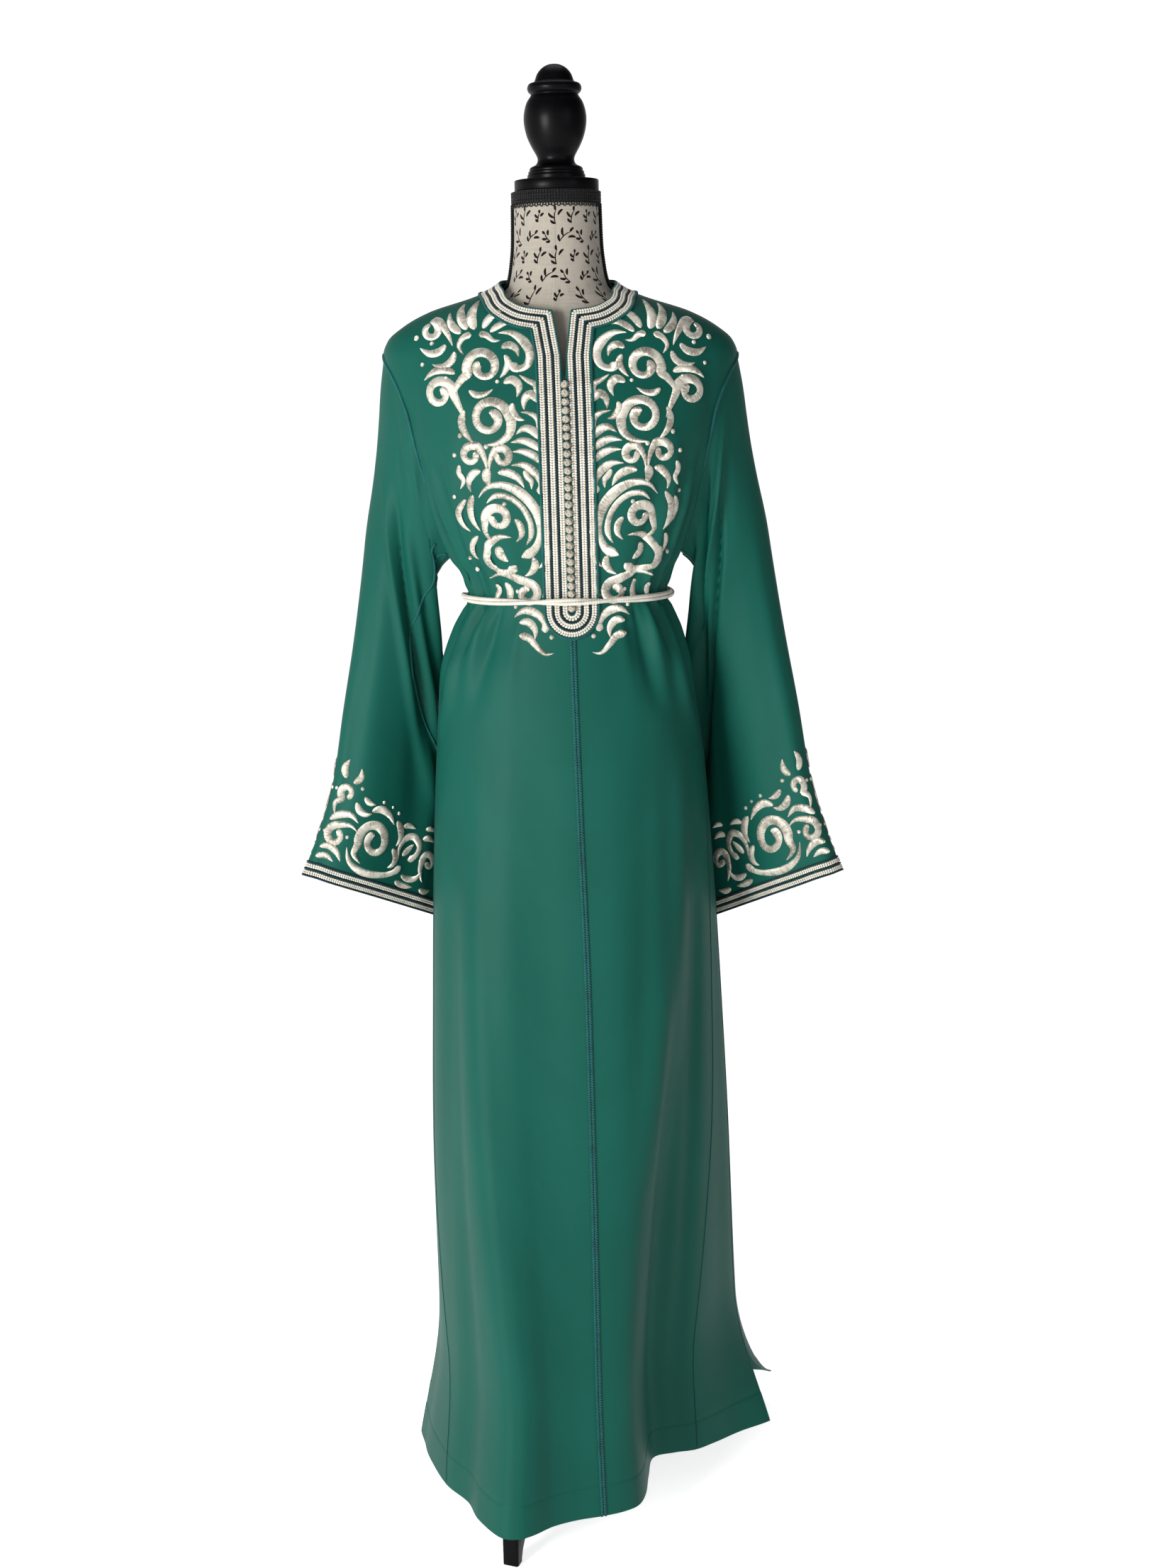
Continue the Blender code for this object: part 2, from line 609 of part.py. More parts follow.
def sleeve_point(side, phi, w):
    p = sleeve_loop(phi, w)
    p.x *= side
    k = ramp(0.34, 0.0, w)
    if k > 0.0:
        u, z = armhole_point(side, phi)
        a = body_point(u, z)
        q = sleeve_loop(phi, 0.0)
        q.x *= side
        p += (a - q) * k
    narrow, inner, cuff = ARM_TRIM[side]
    e = (1.0 - math.cos(2.0 * math.pi * phi)) / 2.0
    bump = math.sin(math.pi * min(1.0, max(0.0, w)) ** 0.9)
    p.x -= side * bump * (narrow * (1.0 - e) - inner * e)
    p.z += cuff * ramp(0.70, 1.0, w)
    h = 0.0
    for name, sd, p0, w0, p1, w1, wide, high in SLEEVE_FOLDS:
        if sd != side or not w0 < w < w1:
            continue
        t = (w - w0) / (w1 - w0)
        off = (phi - (p0 + (p1 - p0) * t) + 0.5) % 1.0 - 0.5
        h += high * math.exp(-(off / wide) ** 2) * math.sin(math.pi * t) ** 0.7
    if h:
        e = 0.004
        a = sleeve_loop(phi + e, w) - sleeve_loop(phi - e, w)
        n = Vector((a.y, -a.x, 0.0))
        n.normalize()
        mid = sleeve_loop(0.25, w).lerp(sleeve_loop(0.75, w), 0.5)
        if n.dot(sleeve_loop(phi, w) - mid) < 0.0:
            n = -n
        p += Vector((n.x * side, n.y, 0.0)) * h
    return p


def sleeve_normal(side, phi, w):
    e = 0.004
    dp = sleeve_point(side, phi + e, w) - sleeve_point(side, phi - e, w)
    w0, w1 = max(0.0, w - 0.01), min(1.0, w + 0.01)
    dw = sleeve_point(side, phi, w1) - sleeve_point(side, phi, w0)
    return dp.cross(dw).normalized() * side


SLEEVE_ROWS = [0.0, 0.045, 0.10, 0.165, 0.24, 0.32, 0.41, 0.50, 0.60, 0.70, 0.80, 0.90, 1.0]


def sleeve_grid(side):
    n = len(ARM_ROWS) - 1
    cols = 2 * n
    grid, nor = [], []
    for w in SLEEVE_ROWS:
        row, nrow = [], []
        for j in range(cols):
            phi = j / cols
            if w == 0.0:
                u, z = armhole_point(side, phi)
                p = body_point(u, z)
                nn = body_normal(u, z)
                # step off the panel's edge, along the cloth, away from the body
                ua, za = armhole_point(side, phi - 0.02)
                ub, zb = armhole_point(side, phi + 0.02)
                along = (body_point(ub, zb) - body_point(ua, za)).normalized()
                away = along.cross(nn).normalized()
                if away.x * side < 0.0:
                    away = -away
                p = p + away * 0.0016
            else:
                p = sleeve_point(side, phi, w)
                nn = sleeve_normal(side, phi, w)
            row.append(p)
            nrow.append(nn)
        grid.append(row)
        nor.append(nrow)
    # near the armhole the wall is set off square to the grid itself, so it can't fold through
    for i in range(4):
        for j in range(cols):
            k, m = (j + 1) % cols, (j - 1) % cols
            dw = grid[i + 1][j] - grid[max(0, i - 1)][j]
            nor[i][j] = ((grid[i][k] - grid[i][m]).cross(dw)).normalized() * side
    return grid, nor


def cuff_braid(name, grid, normals, edge, wide, thick, mat, lift=0.0009):
    """A flat ring round the cuff, laid on the sleeve's own facets and moved out."""
    low_row, high_row = grid[-1], grid[-2]
    n = len(low_row)
    facet = []
    for j in range(n):
        k = (j + 1) % n
        facet.append((low_row[k] - low_row[j]).cross(high_row[j] - low_row[j]).normalized())
    way = 1.0 if sum(f.dot(q) for f, q in zip(facet, normals[-1])) > 0.0 else -1.0
    verts, faces = [], []
    for j in range(n):
        low, high = low_row[j], high_row[j]
        up = (high - low).normalized()
        p = low + up * edge
        a, b = facet[j - 1] * way, facet[j] * way
        m = (a + b).normalized()
        m *= 1.0 / max(0.4, m.dot(b))
        verts += [p - up * wide / 2 + m * lift, p + up * wide / 2 + m * lift,
                  p + up * wide / 2 + m * (lift + thick), p - up * wide / 2 + m * (lift + thick)]
    for j in range(n):
        a, b = 4 * j, 4 * ((j + 1) % n)
        for k in range(4):
            m = (k + 1) % 4
            faces.append((a + k, a + m, b + m, b + k))
    return finish_mesh(name, verts, faces, mat, sharp=35.0)


# ------------------------------------------------------------------ neck and placket braid
def down_from_neck(u, d):
    """z of the point that lies d below the neckline, along the cloth."""
    z = neck_z(u)
    p = body_point(u, z)
    left = d
    step = 0.0008
    while left > 0.0:
        q = body_point(u, z - step)
        seg = (q - p).length
        if seg >= left:
            return z - step * left / seg
        left -= seg
        z -= step
        p = q
    return z


def channel_half(z):
    return max(CHANNEL, centre_half(z))


def braid_path(d):
    """Half of a row: from the centre back round the neck, down the placket."""
    halves = {}
    for side in (1, -1):
        pts = []

        def miss(a):
            u = side * a
            z = down_from_neck(u, d)
            x = body_point(u, z).x
            return side * (x - curve(CENTRE_X, z, 1)) - (channel_half(z) + d)

        lo, hi = 0.005, 0.16
        for _ in range(30):
            m = (lo + hi) / 2
            if miss(m) < 0.0:
                lo = m
            else:
                hi = m
        corner = hi
        for k in range(21):
            a = 0.5 + (corner - 0.5) * k / 20
            u = side * a
            pts.append((u, down_from_neck(u, d)))
        z_c = pts[-1][1]
        for k in range(1, 17):
            z = z_c + (U_TURN_Z - z_c) * k / 16
            u = u_at_x(curve(CENTRE_X, z, 1) + side * (channel_half(z) + d), z)
            pts.append((u, z))
        halves[side] = pts
    r = CHANNEL + d
    turn = []
    for k in range(1, 8):
        a = math.pi * k / 8
        z = U_TURN_Z - r * math.sin(a)
        x = curve(CENTRE_X, z, 1) + r * math.cos(a)
        turn.append((u_at_x(x, z), z))
    uz = halves[1] + turn + list(reversed(halves[-1]))[:-1]
    return [body_point(u, z) for u, z in uz], [body_normal(u, z) for u, z in uz]


# ------------------------------------------------------------------ build: garment
cloth_mats = {}


def cloth(name):
    cloth_mats[name] = material(name + "_cloth", GREEN, 0.62)
    return cloth_mats[name]


for side, tag in ((1, "right"), (-1, "left")):
    g, n = front_panel(side)
    shell("front_" + tag, g, n, cloth("front_" + tag))
    for back in (False, True):
        g, n = gore_panel(side, back)
        nm = ("gore_back_" if back else "gore_front_") + tag
        shell(nm, g, n, cloth(nm))
    g, n = sleeve_grid(side)
    shell("sleeve_" + tag, g, n, cloth("sleeve_" + tag), wrap=True)
    for row, edge in enumerate((0.0050, 0.0138)):
        nm = "cuff_braid_%s_%d" % (tag, row + 1)
        cuff_braid(nm, g, n, edge, 0.0046, 0.0010, material(nm, CREAM, 0.6))
g, n = back_panel()
shell("back", g, n, cloth("back"))

for row in range(BRAID_ROWS):
    p, n = braid_path(BRAID_FIRST + BRAID_PITCH * row)
    nm = "neck_braid_%d" % (row + 1)
    sweep(nm, p, n, BRAID_W, BRAID_T, material(nm, CREAM, 0.6), True, lift=0.0009)

cord_path, cord_nor = [], []
for k in range(19):
    z = 1.080 + (HEM_Z + 0.002 - 1.080) * k / 18
    u = u_at_x(curve(CENTRE_X, z, 1), z)
    cord_path.append(body_point(u, z))
    cord_nor.append(body_normal(u, z))
sweep("cord_centre_front", cord_path, cord_nor, CORD_W, CORD_T,
      material("cord_centre_front", TEAL, 0.5), False, lift=0.0005)

button_mat = material("button_thread", CREAM, 0.65)
for k in range(BUTTONS):
    z = BUTTON_TOP - BUTTON_PITCH * k
    u = u_at_x(curve(CENTRE_X, z, 1), z)
    c = body_point(u, z) + body_normal(u, z) * (BUTTON_R * 0.92 + 0.0004)
    bm = bmesh.new()
    bmesh.ops.create_icosphere(bm, subdivisions=1, radius=BUTTON_R)
    for v in bm.verts:
        v.co.y *= 0.88
    me = bpy.data.meshes.new("button_%02d" % (k + 1))
    bm.to_mesh(me)
    bm.free()
    me.materials.append(button_mat)
    me.shade_smooth()
    ob = bpy.data.objects.new("button_%02d" % (k + 1), me)
    ob.location = c + SHIFT
    bpy.context.scene.collection.objects.link(ob)


def belt_centre(u):
    z = BELT_Z + 0.0022 * math.cos(2 * math.pi * u)
    a = ((u + 0.5) % 1.0) - 0.5
    over = 0.0028 * ramp(0.075, 0.045, abs(a))
    return body_point(u, z) + body_normal(u, z) * (BELT_R + 0.0024 + over)


belt_n, verts, faces = 64, [], []
belt_pts = [belt_centre(k / belt_n) for k in range(belt_n)]
for k in range(belt_n):
    t = (belt_pts[(k + 1) % belt_n] - belt_pts[k - 1]).normalized()
    up = Vector((0, 0, 1))
    out = t.cross(up).normalized()
    up = out.cross(t).normalized()
    for m in range(8):
        a = 2 * math.pi * m / 8
        verts.append(belt_pts[k] + out * (BELT_R * math.cos(a)) + up * (BELT_R * math.sin(a)))
for k in range(belt_n):
    b = (k + 1) % belt_n
    for m in range(8):
        q = (m + 1) % 8
        faces.append((8 * k + m, 8 * k + q, 8 * b + q, 8 * b + m))
finish_mesh("belt", verts, faces, material("belt_cord", CREAM, 0.6), sharp=60.0)

# ------------------------------------------------------------------ build: dress form
# z, half width, front depth, back depth
FORM = [
    (0.800, 0.142, 0.108, 0.122),
    (0.812, 0.149, 0.114, 0.130),
    (0.900, 0.146, 0.112, 0.130),
    (1.000, 0.134, 0.104, 0.114),
    (1.060, 0.119, 0.096, 0.098),
    (1.128, 0.103, 0.088, 0.086),
    (1.200, 0.120, 0.098, 0.093),
    (1.270, 0.142, 0.112, 0.099),
    (1.330, 0.155, 0.110, 0.101),
    (1.375, 0.160, 0.096, 0.094),
    (1.405, 0.160, 0.083, 0.084),
    (1.423, 0.154, 0.074, 0.076),
    (1.436, 0.140, 0.067, 0.069),
    (1.448, 0.118, 0.0605, 0.063),
    (1.460, 0.090, 0.0570, 0.0575),
    (1.471, 0.0695, 0.0550, 0.0540),
    (1.482, 0.0575, 0.0535, 0.0515),
    (1.500, 0.0530, 0.0520, 0.0505),
    (1.530, 0.0498, 0.0505, 0.0495),
    (1.572, 0.0488, 0.0495, 0.0488),
]
FORM_COLS = 28


def form_point(a, z):
    half, front, back = (curve(FORM, z, k) for k in range(1, 4))
    s, c = math.sin(a), math.cos(a)
    x, y = half * s - 0.001 * ramp(1.44, 1.50, z), -(front if c > 0 else back) * c
    for bx in (0.075, -0.075):
        y -= 0.010 * math.exp(-((x - bx) / 0.045) ** 2 - ((z - 1.275) / 0.045) ** 2) * max(0.0, c)
    drop = 0.016 * x * ramp(1.30, 1.42, z) * ramp(1.52, 1.47, z)
    return Vector((x, y, z - drop))


verts, faces = [], []
form_levels = [row[0] for row in FORM]
for z in form_levels:
    for k in range(FORM_COLS):
        verts.append(form_point(2 * math.pi * k / FORM_COLS, z))
for i in range(len(form_levels) - 1):
    for k in range(FORM_COLS):
        m = (k + 1) % FORM_COLS
        faces.append((i * FORM_COLS + k, i * FORM_COLS + m,
                      (i + 1) * FORM_COLS + m, (i + 1) * FORM_COLS + k))
faces.append(tuple(range(FORM_COLS)))
last = (len(form_levels) - 1) * FORM_COLS
faces.append(tuple(last + k for k in range(FORM_COLS)))
finish_mesh("form_body", verts, faces, material("form_linen", LINEN, 0.9), sharp=40.0)

black = material("black_wood", BLACK, 0.35)
gimp = material("black_gimp", BLACK, 0.8)
turned("neck_band", [(0.0, 1.5872), (0.0497, 1.5872), (0.0512, 1.5850), (0.0512, 1.5745),
                     (0.0500, 1.5723), (0.0, 1.5723)], gimp, 32, (-0.001, 0.0))
turned("neck_cap", [(0.0, 1.6000), (0.0474, 1.6000), (0.0482, 1.5993), (0.0482, 1.5882),
                    (0.0476, 1.5875), (0.0, 1.5875)], black, 32)
# radius, height
FINIAL = [
    (0.0, 1.7275), (0.0075, 1.7262), (0.0145, 1.7222), (0.0195, 1.7162), (0.0222, 1.7092),
    (0.0236, 1.7072), (0.0288, 1.7055), (0.0309, 1.7012), (0.0298, 1.6968), (0.0272, 1.6942),
    (0.0278, 1.6918), (0.0318, 1.6858), (0.0346, 1.6775), (0.0358, 1.6680), (0.0350, 1.6580),
    (0.0322, 1.6470), (0.0275, 1.6365), (0.0232, 1.6290), (0.0211, 1.6240), (0.0216, 1.6195),
    (0.0240, 1.6165), (0.0292, 1.6140), (0.0306, 1.6118), (0.0306, 1.6098), (0.0320, 1.6090),
    (0.0320, 1.6062), (0.0331, 1.6055), (0.0331, 1.6003), (0.0, 1.6003),
]
turned("finial", FINIAL, black, 24)
turned("pole", [(0.0, 0.7996), (0.0135, 0.7996), (0.0135, 0.2703), (0.0, 0.2703)], black, 20)
turned("hub", [(0.0, 0.2700), (0.0190, 0.2700), (0.0230, 0.2660), (0.0230, 0.2560),
               (0.0185, 0.2520), (0.0185, 0.2480), (0.0235, 0.2450), (0.0235, 0.1500),
               (0.0185, 0.1420), (0.0080, 0.1380), (0.0, 0.1380)], black, 24)
# leg outline in the upright plane through the pole: distance from the pole, z
LEG_TOP = [(0.0242, 0.2350), (0.0480, 0.2310), (0.0800, 0.2120), (0.1150, 0.1750),
           (0.1500, 0.1270), (0.1850, 0.0840), (0.2150, 0.0570), (0.2350, 0.0480)]
LEG_FOOT = [(0.2370, 0.0440), (0.2370, 0.0)]
LEG_UNDER = [(0.2250, 0.0), (0.2190, 0.0160), (0.2060, 0.0300), (0.1850, 0.0420),
             (0.1580, 0.0640), (0.1260, 0.1020), (0.0900, 0.1390), (0.0560, 0.1590),
             (0.0242, 0.1640)]
LEG_W = 0.020
LEG_AT = [("leg_front", -112.5), ("leg_right", 31.0), ("leg_left", 141.0)]
outline = LEG_TOP + LEG_FOOT + LEG_UNDER
top_n = len(LEG_TOP)
for nm, turn in LEG_AT:
    a = math.radians(turn)
    along = Vector((math.cos(a), math.sin(a), 0.0))
    across = Vector((-math.sin(a), math.cos(a), 0.0))
    verts = [along * r + across * (LEG_W / 2) + Vector((0, 0, z)) for r, z in outline]
    verts += [along * r - across * (LEG_W / 2) + Vector((0, 0, z)) for r, z in outline]
    n = len(outline)
    faces = [tuple(range(n)), tuple(reversed(range(n, 2 * n)))]
    for i in range(n):
        j = (i + 1) % n
        faces.append((i, j, n + j, n + i))
    finish_mesh(nm, verts, faces, black, sharp=30.0)
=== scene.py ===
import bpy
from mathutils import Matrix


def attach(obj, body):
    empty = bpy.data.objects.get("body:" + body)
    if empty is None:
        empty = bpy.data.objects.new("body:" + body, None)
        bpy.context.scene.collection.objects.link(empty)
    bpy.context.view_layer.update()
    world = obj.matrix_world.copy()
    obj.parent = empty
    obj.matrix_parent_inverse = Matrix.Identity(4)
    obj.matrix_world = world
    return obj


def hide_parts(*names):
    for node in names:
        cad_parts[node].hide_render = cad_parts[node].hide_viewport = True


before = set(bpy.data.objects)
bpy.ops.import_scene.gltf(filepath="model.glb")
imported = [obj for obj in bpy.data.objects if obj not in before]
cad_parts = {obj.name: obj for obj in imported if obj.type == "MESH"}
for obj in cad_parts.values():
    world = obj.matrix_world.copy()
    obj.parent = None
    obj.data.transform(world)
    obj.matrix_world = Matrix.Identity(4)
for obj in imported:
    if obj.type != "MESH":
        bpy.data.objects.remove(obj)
"""A long embroidered kaftan, belted with a cord and worn on a limbless dress form.

Metres, +Z up, floor at z = 0; the front looks along -Y.  The tables below are
the part's own sizes; u runs once round the body, 0 at the centre front and 0.25
at the side on +X; w runs down a sleeve and phi round it.
"""
import math

import bmesh
import bpy
import numpy as np
from mathutils import Matrix, Vector

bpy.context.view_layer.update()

# ------------------------------------------------------------------ sizes
SHIFT = np.array([-0.0001, -0.0090, 0.0])
CLOTH = 0.0015            # cloth wall
SEAM = 0.0004             # gap between two pieces at a seam
HEM_Z = 0.042             # hem above the floor
SLIT_TOP = 0.23           # top of each side slit
UNDERARM_Z = 1.175        # lowest point of the armhole
TIP_Z = 1.405             # shoulder tip, top of the armhole
V_FOOT_Z = 1.3746         # foot of the neck slit
V_HALF = 0.0112            # half width of the neck slit at the neckline
U_TURN_Z = 1.116          # middle of the braid's turn at the placket's foot
BRAID_W, BRAID_T = 0.0062, 0.0014
BRAID_FIRST, BRAID_PITCH, BRAID_ROWS = 0.0033, 0.00915, 3
CHANNEL = 0.0041          # half width of the button channel
BUTTON_R, BUTTON_PITCH, BUTTON_TOP, BUTTONS = 0.0042, 0.0093, 1.3700, 26
BELT_R, BELT_Z = 0.0036, 1.1262
CORD_W, CORD_T = 0.0066, 0.0012

SECTIONS = [
    (0.042, 0.212, 0.190, 0.215, 0.008, 0.010),
    (0.200, 0.187, 0.178, 0.200, 0.006, 0.010),
    (0.430, 0.184, 0.166, 0.186, 0.003, 0.010),
    (0.640, 0.1765, 0.151, 0.172, 0.002, 0.010),
    (0.800, 0.169, 0.138, 0.160, 0.001, 0.010),
    (0.930, 0.160, 0.128, 0.148, 0.000, 0.008),
    (1.040, 0.1465, 0.116, 0.128, -0.002, 0.005),
    (1.085, 0.1320, 0.108, 0.112, 0.000, 0.003),
    (1.128, 0.1165, 0.101, 0.100, 0.002, 0.000),
    (1.160, 0.1240, 0.106, 0.104, 0.002, 0.000),
    (1.175, 0.1330, 0.109, 0.107, 0.001, 0.000),
    (1.205, 0.1440, 0.115, 0.109, 0.000, 0.000),
    (1.250, 0.1620, 0.124, 0.112, 0.000, 0.000),
    (1.300, 0.1790, 0.127, 0.114, 0.000, 0.000),
    (1.345, 0.1920, 0.120, 0.114, 0.000, 0.000),
    (1.380, 0.2005, 0.108, 0.107, 0.000, 0.000),
    (1.405, 0.2045, 0.097, 0.098, 0.000, 0.000),
    (1.420, 0.1990, 0.090, 0.091, 0.000, 0.000),
    (1.4365, 0.1800, 0.082, 0.083, 0.000, 0.000),
    (1.4525, 0.1500, 0.073, 0.074, 0.000, 0.000),
    (1.469, 0.0990, 0.064, 0.063, 0.000, 0.000),
    (1.478, 0.0770, 0.0600, 0.0575, -0.001, 0.000),
    (1.489, 0.0615, 0.0570, 0.0530, -0.001, 0.000),
]
HEM = [
    ("centre seam", 0.000, 0.0205, -0.1840),
    ("front right", 0.035, 0.0470, -0.1735),
    ("before the fold", 0.060, 0.0640, -0.1590),
    ("fold edge", 0.078, 0.0725, -0.1330),
    ("inside the fold", 0.098, 0.0770, -0.0897),
    ("fold root", 0.120, 0.0840, -0.0450),
    ("recess", 0.145, 0.1110, -0.0324),
    ("gore seam right", 0.170, 0.1400, -0.0250),
    ("gore right", 0.195, 0.1641, -0.0050),
    ("gore right outer", 0.222, 0.1930, 0.0400),
    ("slit right", 0.250, 0.2240, 0.0950),
    ("back gore right", 0.280, 0.2270, 0.1600),
    ("back seam right", 0.320, 0.2060, 0.2120),
    ("back fold 1", 0.365, 0.1540, 0.2460),
    ("back dip 1", 0.405, 0.1080, 0.2260),
    ("back fold 2", 0.450, 0.0520, 0.2520),
    ("back dip 2", 0.500, -0.0020, 0.2300),
    ("back fold 3", 0.550, -0.0540, 0.2500),
    ("back dip 3", 0.600, -0.1060, 0.2220),
    ("back fold 4", 0.640, -0.1480, 0.2320),
    ("back seam left", 0.685, -0.1860, 0.1960),
    ("back gore left", 0.720, -0.2040, 0.1480),
    ("slit left", 0.750, -0.2090, 0.0850),
    ("gore left outer", 0.778, -0.2045, 0.0280),
    ("gore left", 0.805, -0.1965, -0.0300),
    ("gore seam left", 0.830, -0.1720, -0.1000),
    ("left of the ridge", 0.852, -0.1424, -0.1455),
    ("ridge shoulder", 0.868, -0.1290, -0.1850),
    ("ridge left", 0.885, -0.1022, -0.2271),
    ("ridge", 0.903, -0.0809, -0.2337),
    ("right of the ridge", 0.922, -0.0630, -0.2258),
    ("hollow", 0.945, -0.0400, -0.2064),
    ("by the seam", 0.972, -0.0120, -0.1930),
]
FLAPS = [
    ("front right", 0.250, -1, 0.0150, -0.048, 1.4),
    ("back right", 0.250, 1, 0.0280, 0.095, 3.4),
    ("back left", 0.750, -1, -0.0010, 0.041, 1.4),
    ("front left", 0.750, 1, -0.0030, -0.046, 1.4),
]
FOLDS = [
    ("bust right", 0.078, 1.395, 0.078, 1.165, 0.050, 0.0070),
    ("bust left", -0.078, 1.395, -0.078, 1.165, 0.050, 0.0070),
    ("side pleat left 1", -0.158, 1.290, -0.140, 1.110, 0.013, 0.0060),
    ("side pleat left 2", -0.192, 1.255, -0.185, 1.100, 0.013, 0.0050),
    ("side groove left", -0.174, 1.285, -0.164, 1.105, 0.010, -0.0050),
    ("side pleat right 1", 0.160, 1.285, 0.146, 1.110, 0.013, 0.0060),
    ("side pleat right 2", 0.194, 1.250, 0.186, 1.100, 0.013, 0.0050),
    ("side groove right", 0.177, 1.285, 0.168, 1.105, 0.010, -0.0050),
    ("hip pleat left", -0.120, 1.135, -0.205, 0.960, 0.018, 0.0060),
    ("hip hollow left", -0.092, 1.130, -0.130, 0.985, 0.018, -0.0040),
    ("hip pleat right", 0.120, 1.135, 0.200, 0.960, 0.018, 0.0060),
    ("hip hollow right", 0.090, 1.130, 0.130, 0.985, 0.018, -0.0040),
    ("back pleat 1", 0.315, 1.270, 0.330, 0.980, 0.016, 0.0060),
    ("back pleat 2", 0.370, 1.230, 0.380, 0.900, 0.016, 0.0060),
    ("back pleat 3", 0.425, 1.210, 0.440, 0.960, 0.015, 0.0050),
    ("back pleat 4", 0.560, 1.230, 0.552, 0.920, 0.016, 0.0060),
    ("back pleat 5", 0.622, 1.260, 0.610, 0.900, 0.016, 0.0060),
    ("back pleat 6", 0.680, 1.250, 0.664, 0.980, 0.016, 0.0050),
    ("skirt ridge left", -0.128, 0.820, -0.108, 0.200, 0.022, 0.0060),
    ("skirt ridge right", 0.150, 0.960, 0.092, 0.420, 0.020, 0.0070),
]
GORE_SEAM = [(0.042, 0.170), (0.160, 0.180), (0.300, 0.196), (0.570, 0.218),
             (0.800, 0.222), (1.000, 0.226), (1.175, 0.2333)]
ARMHOLE = [(1.175, 84.0, 84.0), (1.197, 77.0, 78.0), (1.220, 72.0, 74.0),
           (1.248, 69.5, 71.0), (1.275, 68.0, 68.0), (1.305, 66.0, 65.0),
           (1.335, 65.0, 64.0), (1.362, 68.0, 67.0), (1.385, 75.0, 74.0),
           (1.405, 90.0, 90.0)]
NECKLINE = [(0.0, 1.4515), (14.0, 1.4550), (26.0, 1.4620), (53.0, 1.4770),
            (90.0, 1.4860), (135.0, 1.4885), (180.0, 1.4890)]
CENTRE_X = [(0.042, 0.0205), (0.200, 0.0175), (0.420, 0.0172), (0.660, 0.0158),
            (0.900, 0.0105), (1.090, 0.0072), (1.320, 0.0056), (1.455, 0.0027)]
SLEEVE = [
    (0.000, 0.2045, 0.000, 1.405, 0.1345, 0.000, 1.175, 0.060, 0.060),
    (0.065, 0.2125, 0.002, 1.365, 0.1490, 0.010, 1.160, 0.060, 0.056),
    (0.150, 0.2200, 0.004, 1.310, 0.1580, 0.025, 1.138, 0.058, 0.052),
    (0.265, 0.2310, 0.006, 1.240, 0.1580, 0.048, 1.095, 0.052, 0.046),
    (0.395, 0.2435, 0.006, 1.160, 0.1530, 0.074, 1.035, 0.046, 0.040),
    (0.525, 0.2570, 0.006, 1.080, 0.1500, 0.098, 0.965, 0.041, 0.036),
    (0.670, 0.2735, 0.005, 0.990, 0.1500, 0.117, 0.885, 0.037, 0.033),
    (0.815, 0.2880, 0.004, 0.900, 0.1530, 0.130, 0.800, 0.035, 0.031),
    (0.905, 0.3040, 0.003, 0.845, 0.1560, 0.136, 0.748, 0.034, 0.031),
    (1.000, 0.3245, 0.002, 0.788, 0.1600, 0.140, 0.694, 0.034, 0.031),
]
ARM_TRIM = {1: (0.0030, 0.0050, -0.0055), -1: (0.0080, 0.0, 0.0030)}
SLEEVE_FOLDS = [
    ("groove right", 1, 0.300, 0.02, 0.350, 0.80, 0.040, -0.0150),
    ("band right", 1, 0.400, 0.02, 0.430, 0.85, 0.050, 0.0080),
    ("ridge left", -1, 0.150, 0.12, 0.345, 0.80, 0.045, 0.0080),
    ("seam valley left", -1, 0.420, 0.18, 0.390, 0.80, 0.050, -0.0150),
    ("back groove right", 1, 0.680, 0.06, 0.640, 0.85, 0.045, -0.0100),
    ("back groove left", -1, 0.700, 0.06, 0.660, 0.85, 0.045, -0.0100),
    ("elbow soft right", 1, 0.140, 0.40, 0.160, 1.30, 0.060, 0.0040),
    ("elbow soft left", -1, 0.120, 0.45, 0.150, 1.30, 0.060, 0.0040),
]
FORM = [
    (0.800, 0.142, 0.108, 0.122),
    (0.812, 0.149, 0.114, 0.130),
    (0.900, 0.146, 0.112, 0.130),
    (1.000, 0.134, 0.104, 0.114),
    (1.060, 0.119, 0.096, 0.098),
    (1.128, 0.103, 0.088, 0.086),
    (1.200, 0.120, 0.098, 0.093),
    (1.270, 0.142, 0.112, 0.099),
    (1.330, 0.155, 0.110, 0.101),
    (1.375, 0.160, 0.096, 0.094),
    (1.405, 0.160, 0.083, 0.084),
    (1.423, 0.154, 0.074, 0.076),
    (1.436, 0.140, 0.067, 0.069),
    (1.448, 0.118, 0.0605, 0.063),
    (1.460, 0.090, 0.0570, 0.0575),
    (1.471, 0.0695, 0.0550, 0.0540),
    (1.482, 0.0575, 0.0535, 0.0515),
    (1.500, 0.0530, 0.0520, 0.0505),
    (1.530, 0.0498, 0.0505, 0.0495),
    (1.572, 0.0488, 0.0495, 0.0488),
]
FINIAL = [
    (0.0, 1.7275), (0.0075, 1.7262), (0.0145, 1.7222), (0.0195, 1.7162), (0.0222, 1.7092),
    (0.0236, 1.7072), (0.0288, 1.7055), (0.0309, 1.7012), (0.0298, 1.6968), (0.0272, 1.6942),
    (0.0278, 1.6918), (0.0318, 1.6858), (0.0346, 1.6775), (0.0358, 1.6680), (0.0350, 1.6580),
    (0.0322, 1.6470), (0.0275, 1.6365), (0.0232, 1.6290), (0.0211, 1.6240), (0.0216, 1.6195),
    (0.0240, 1.6165), (0.0292, 1.6140), (0.0306, 1.6118), (0.0306, 1.6098), (0.0320, 1.6090),
    (0.0320, 1.6062), (0.0331, 1.6055), (0.0331, 1.6003), (0.0, 1.6003),
]
LEG_TOP = [(0.0242, 0.2350), (0.0480, 0.2310), (0.0800, 0.2120), (0.1150, 0.1750),
           (0.1500, 0.1270), (0.1850, 0.0840), (0.2150, 0.0570), (0.2350, 0.0480)]
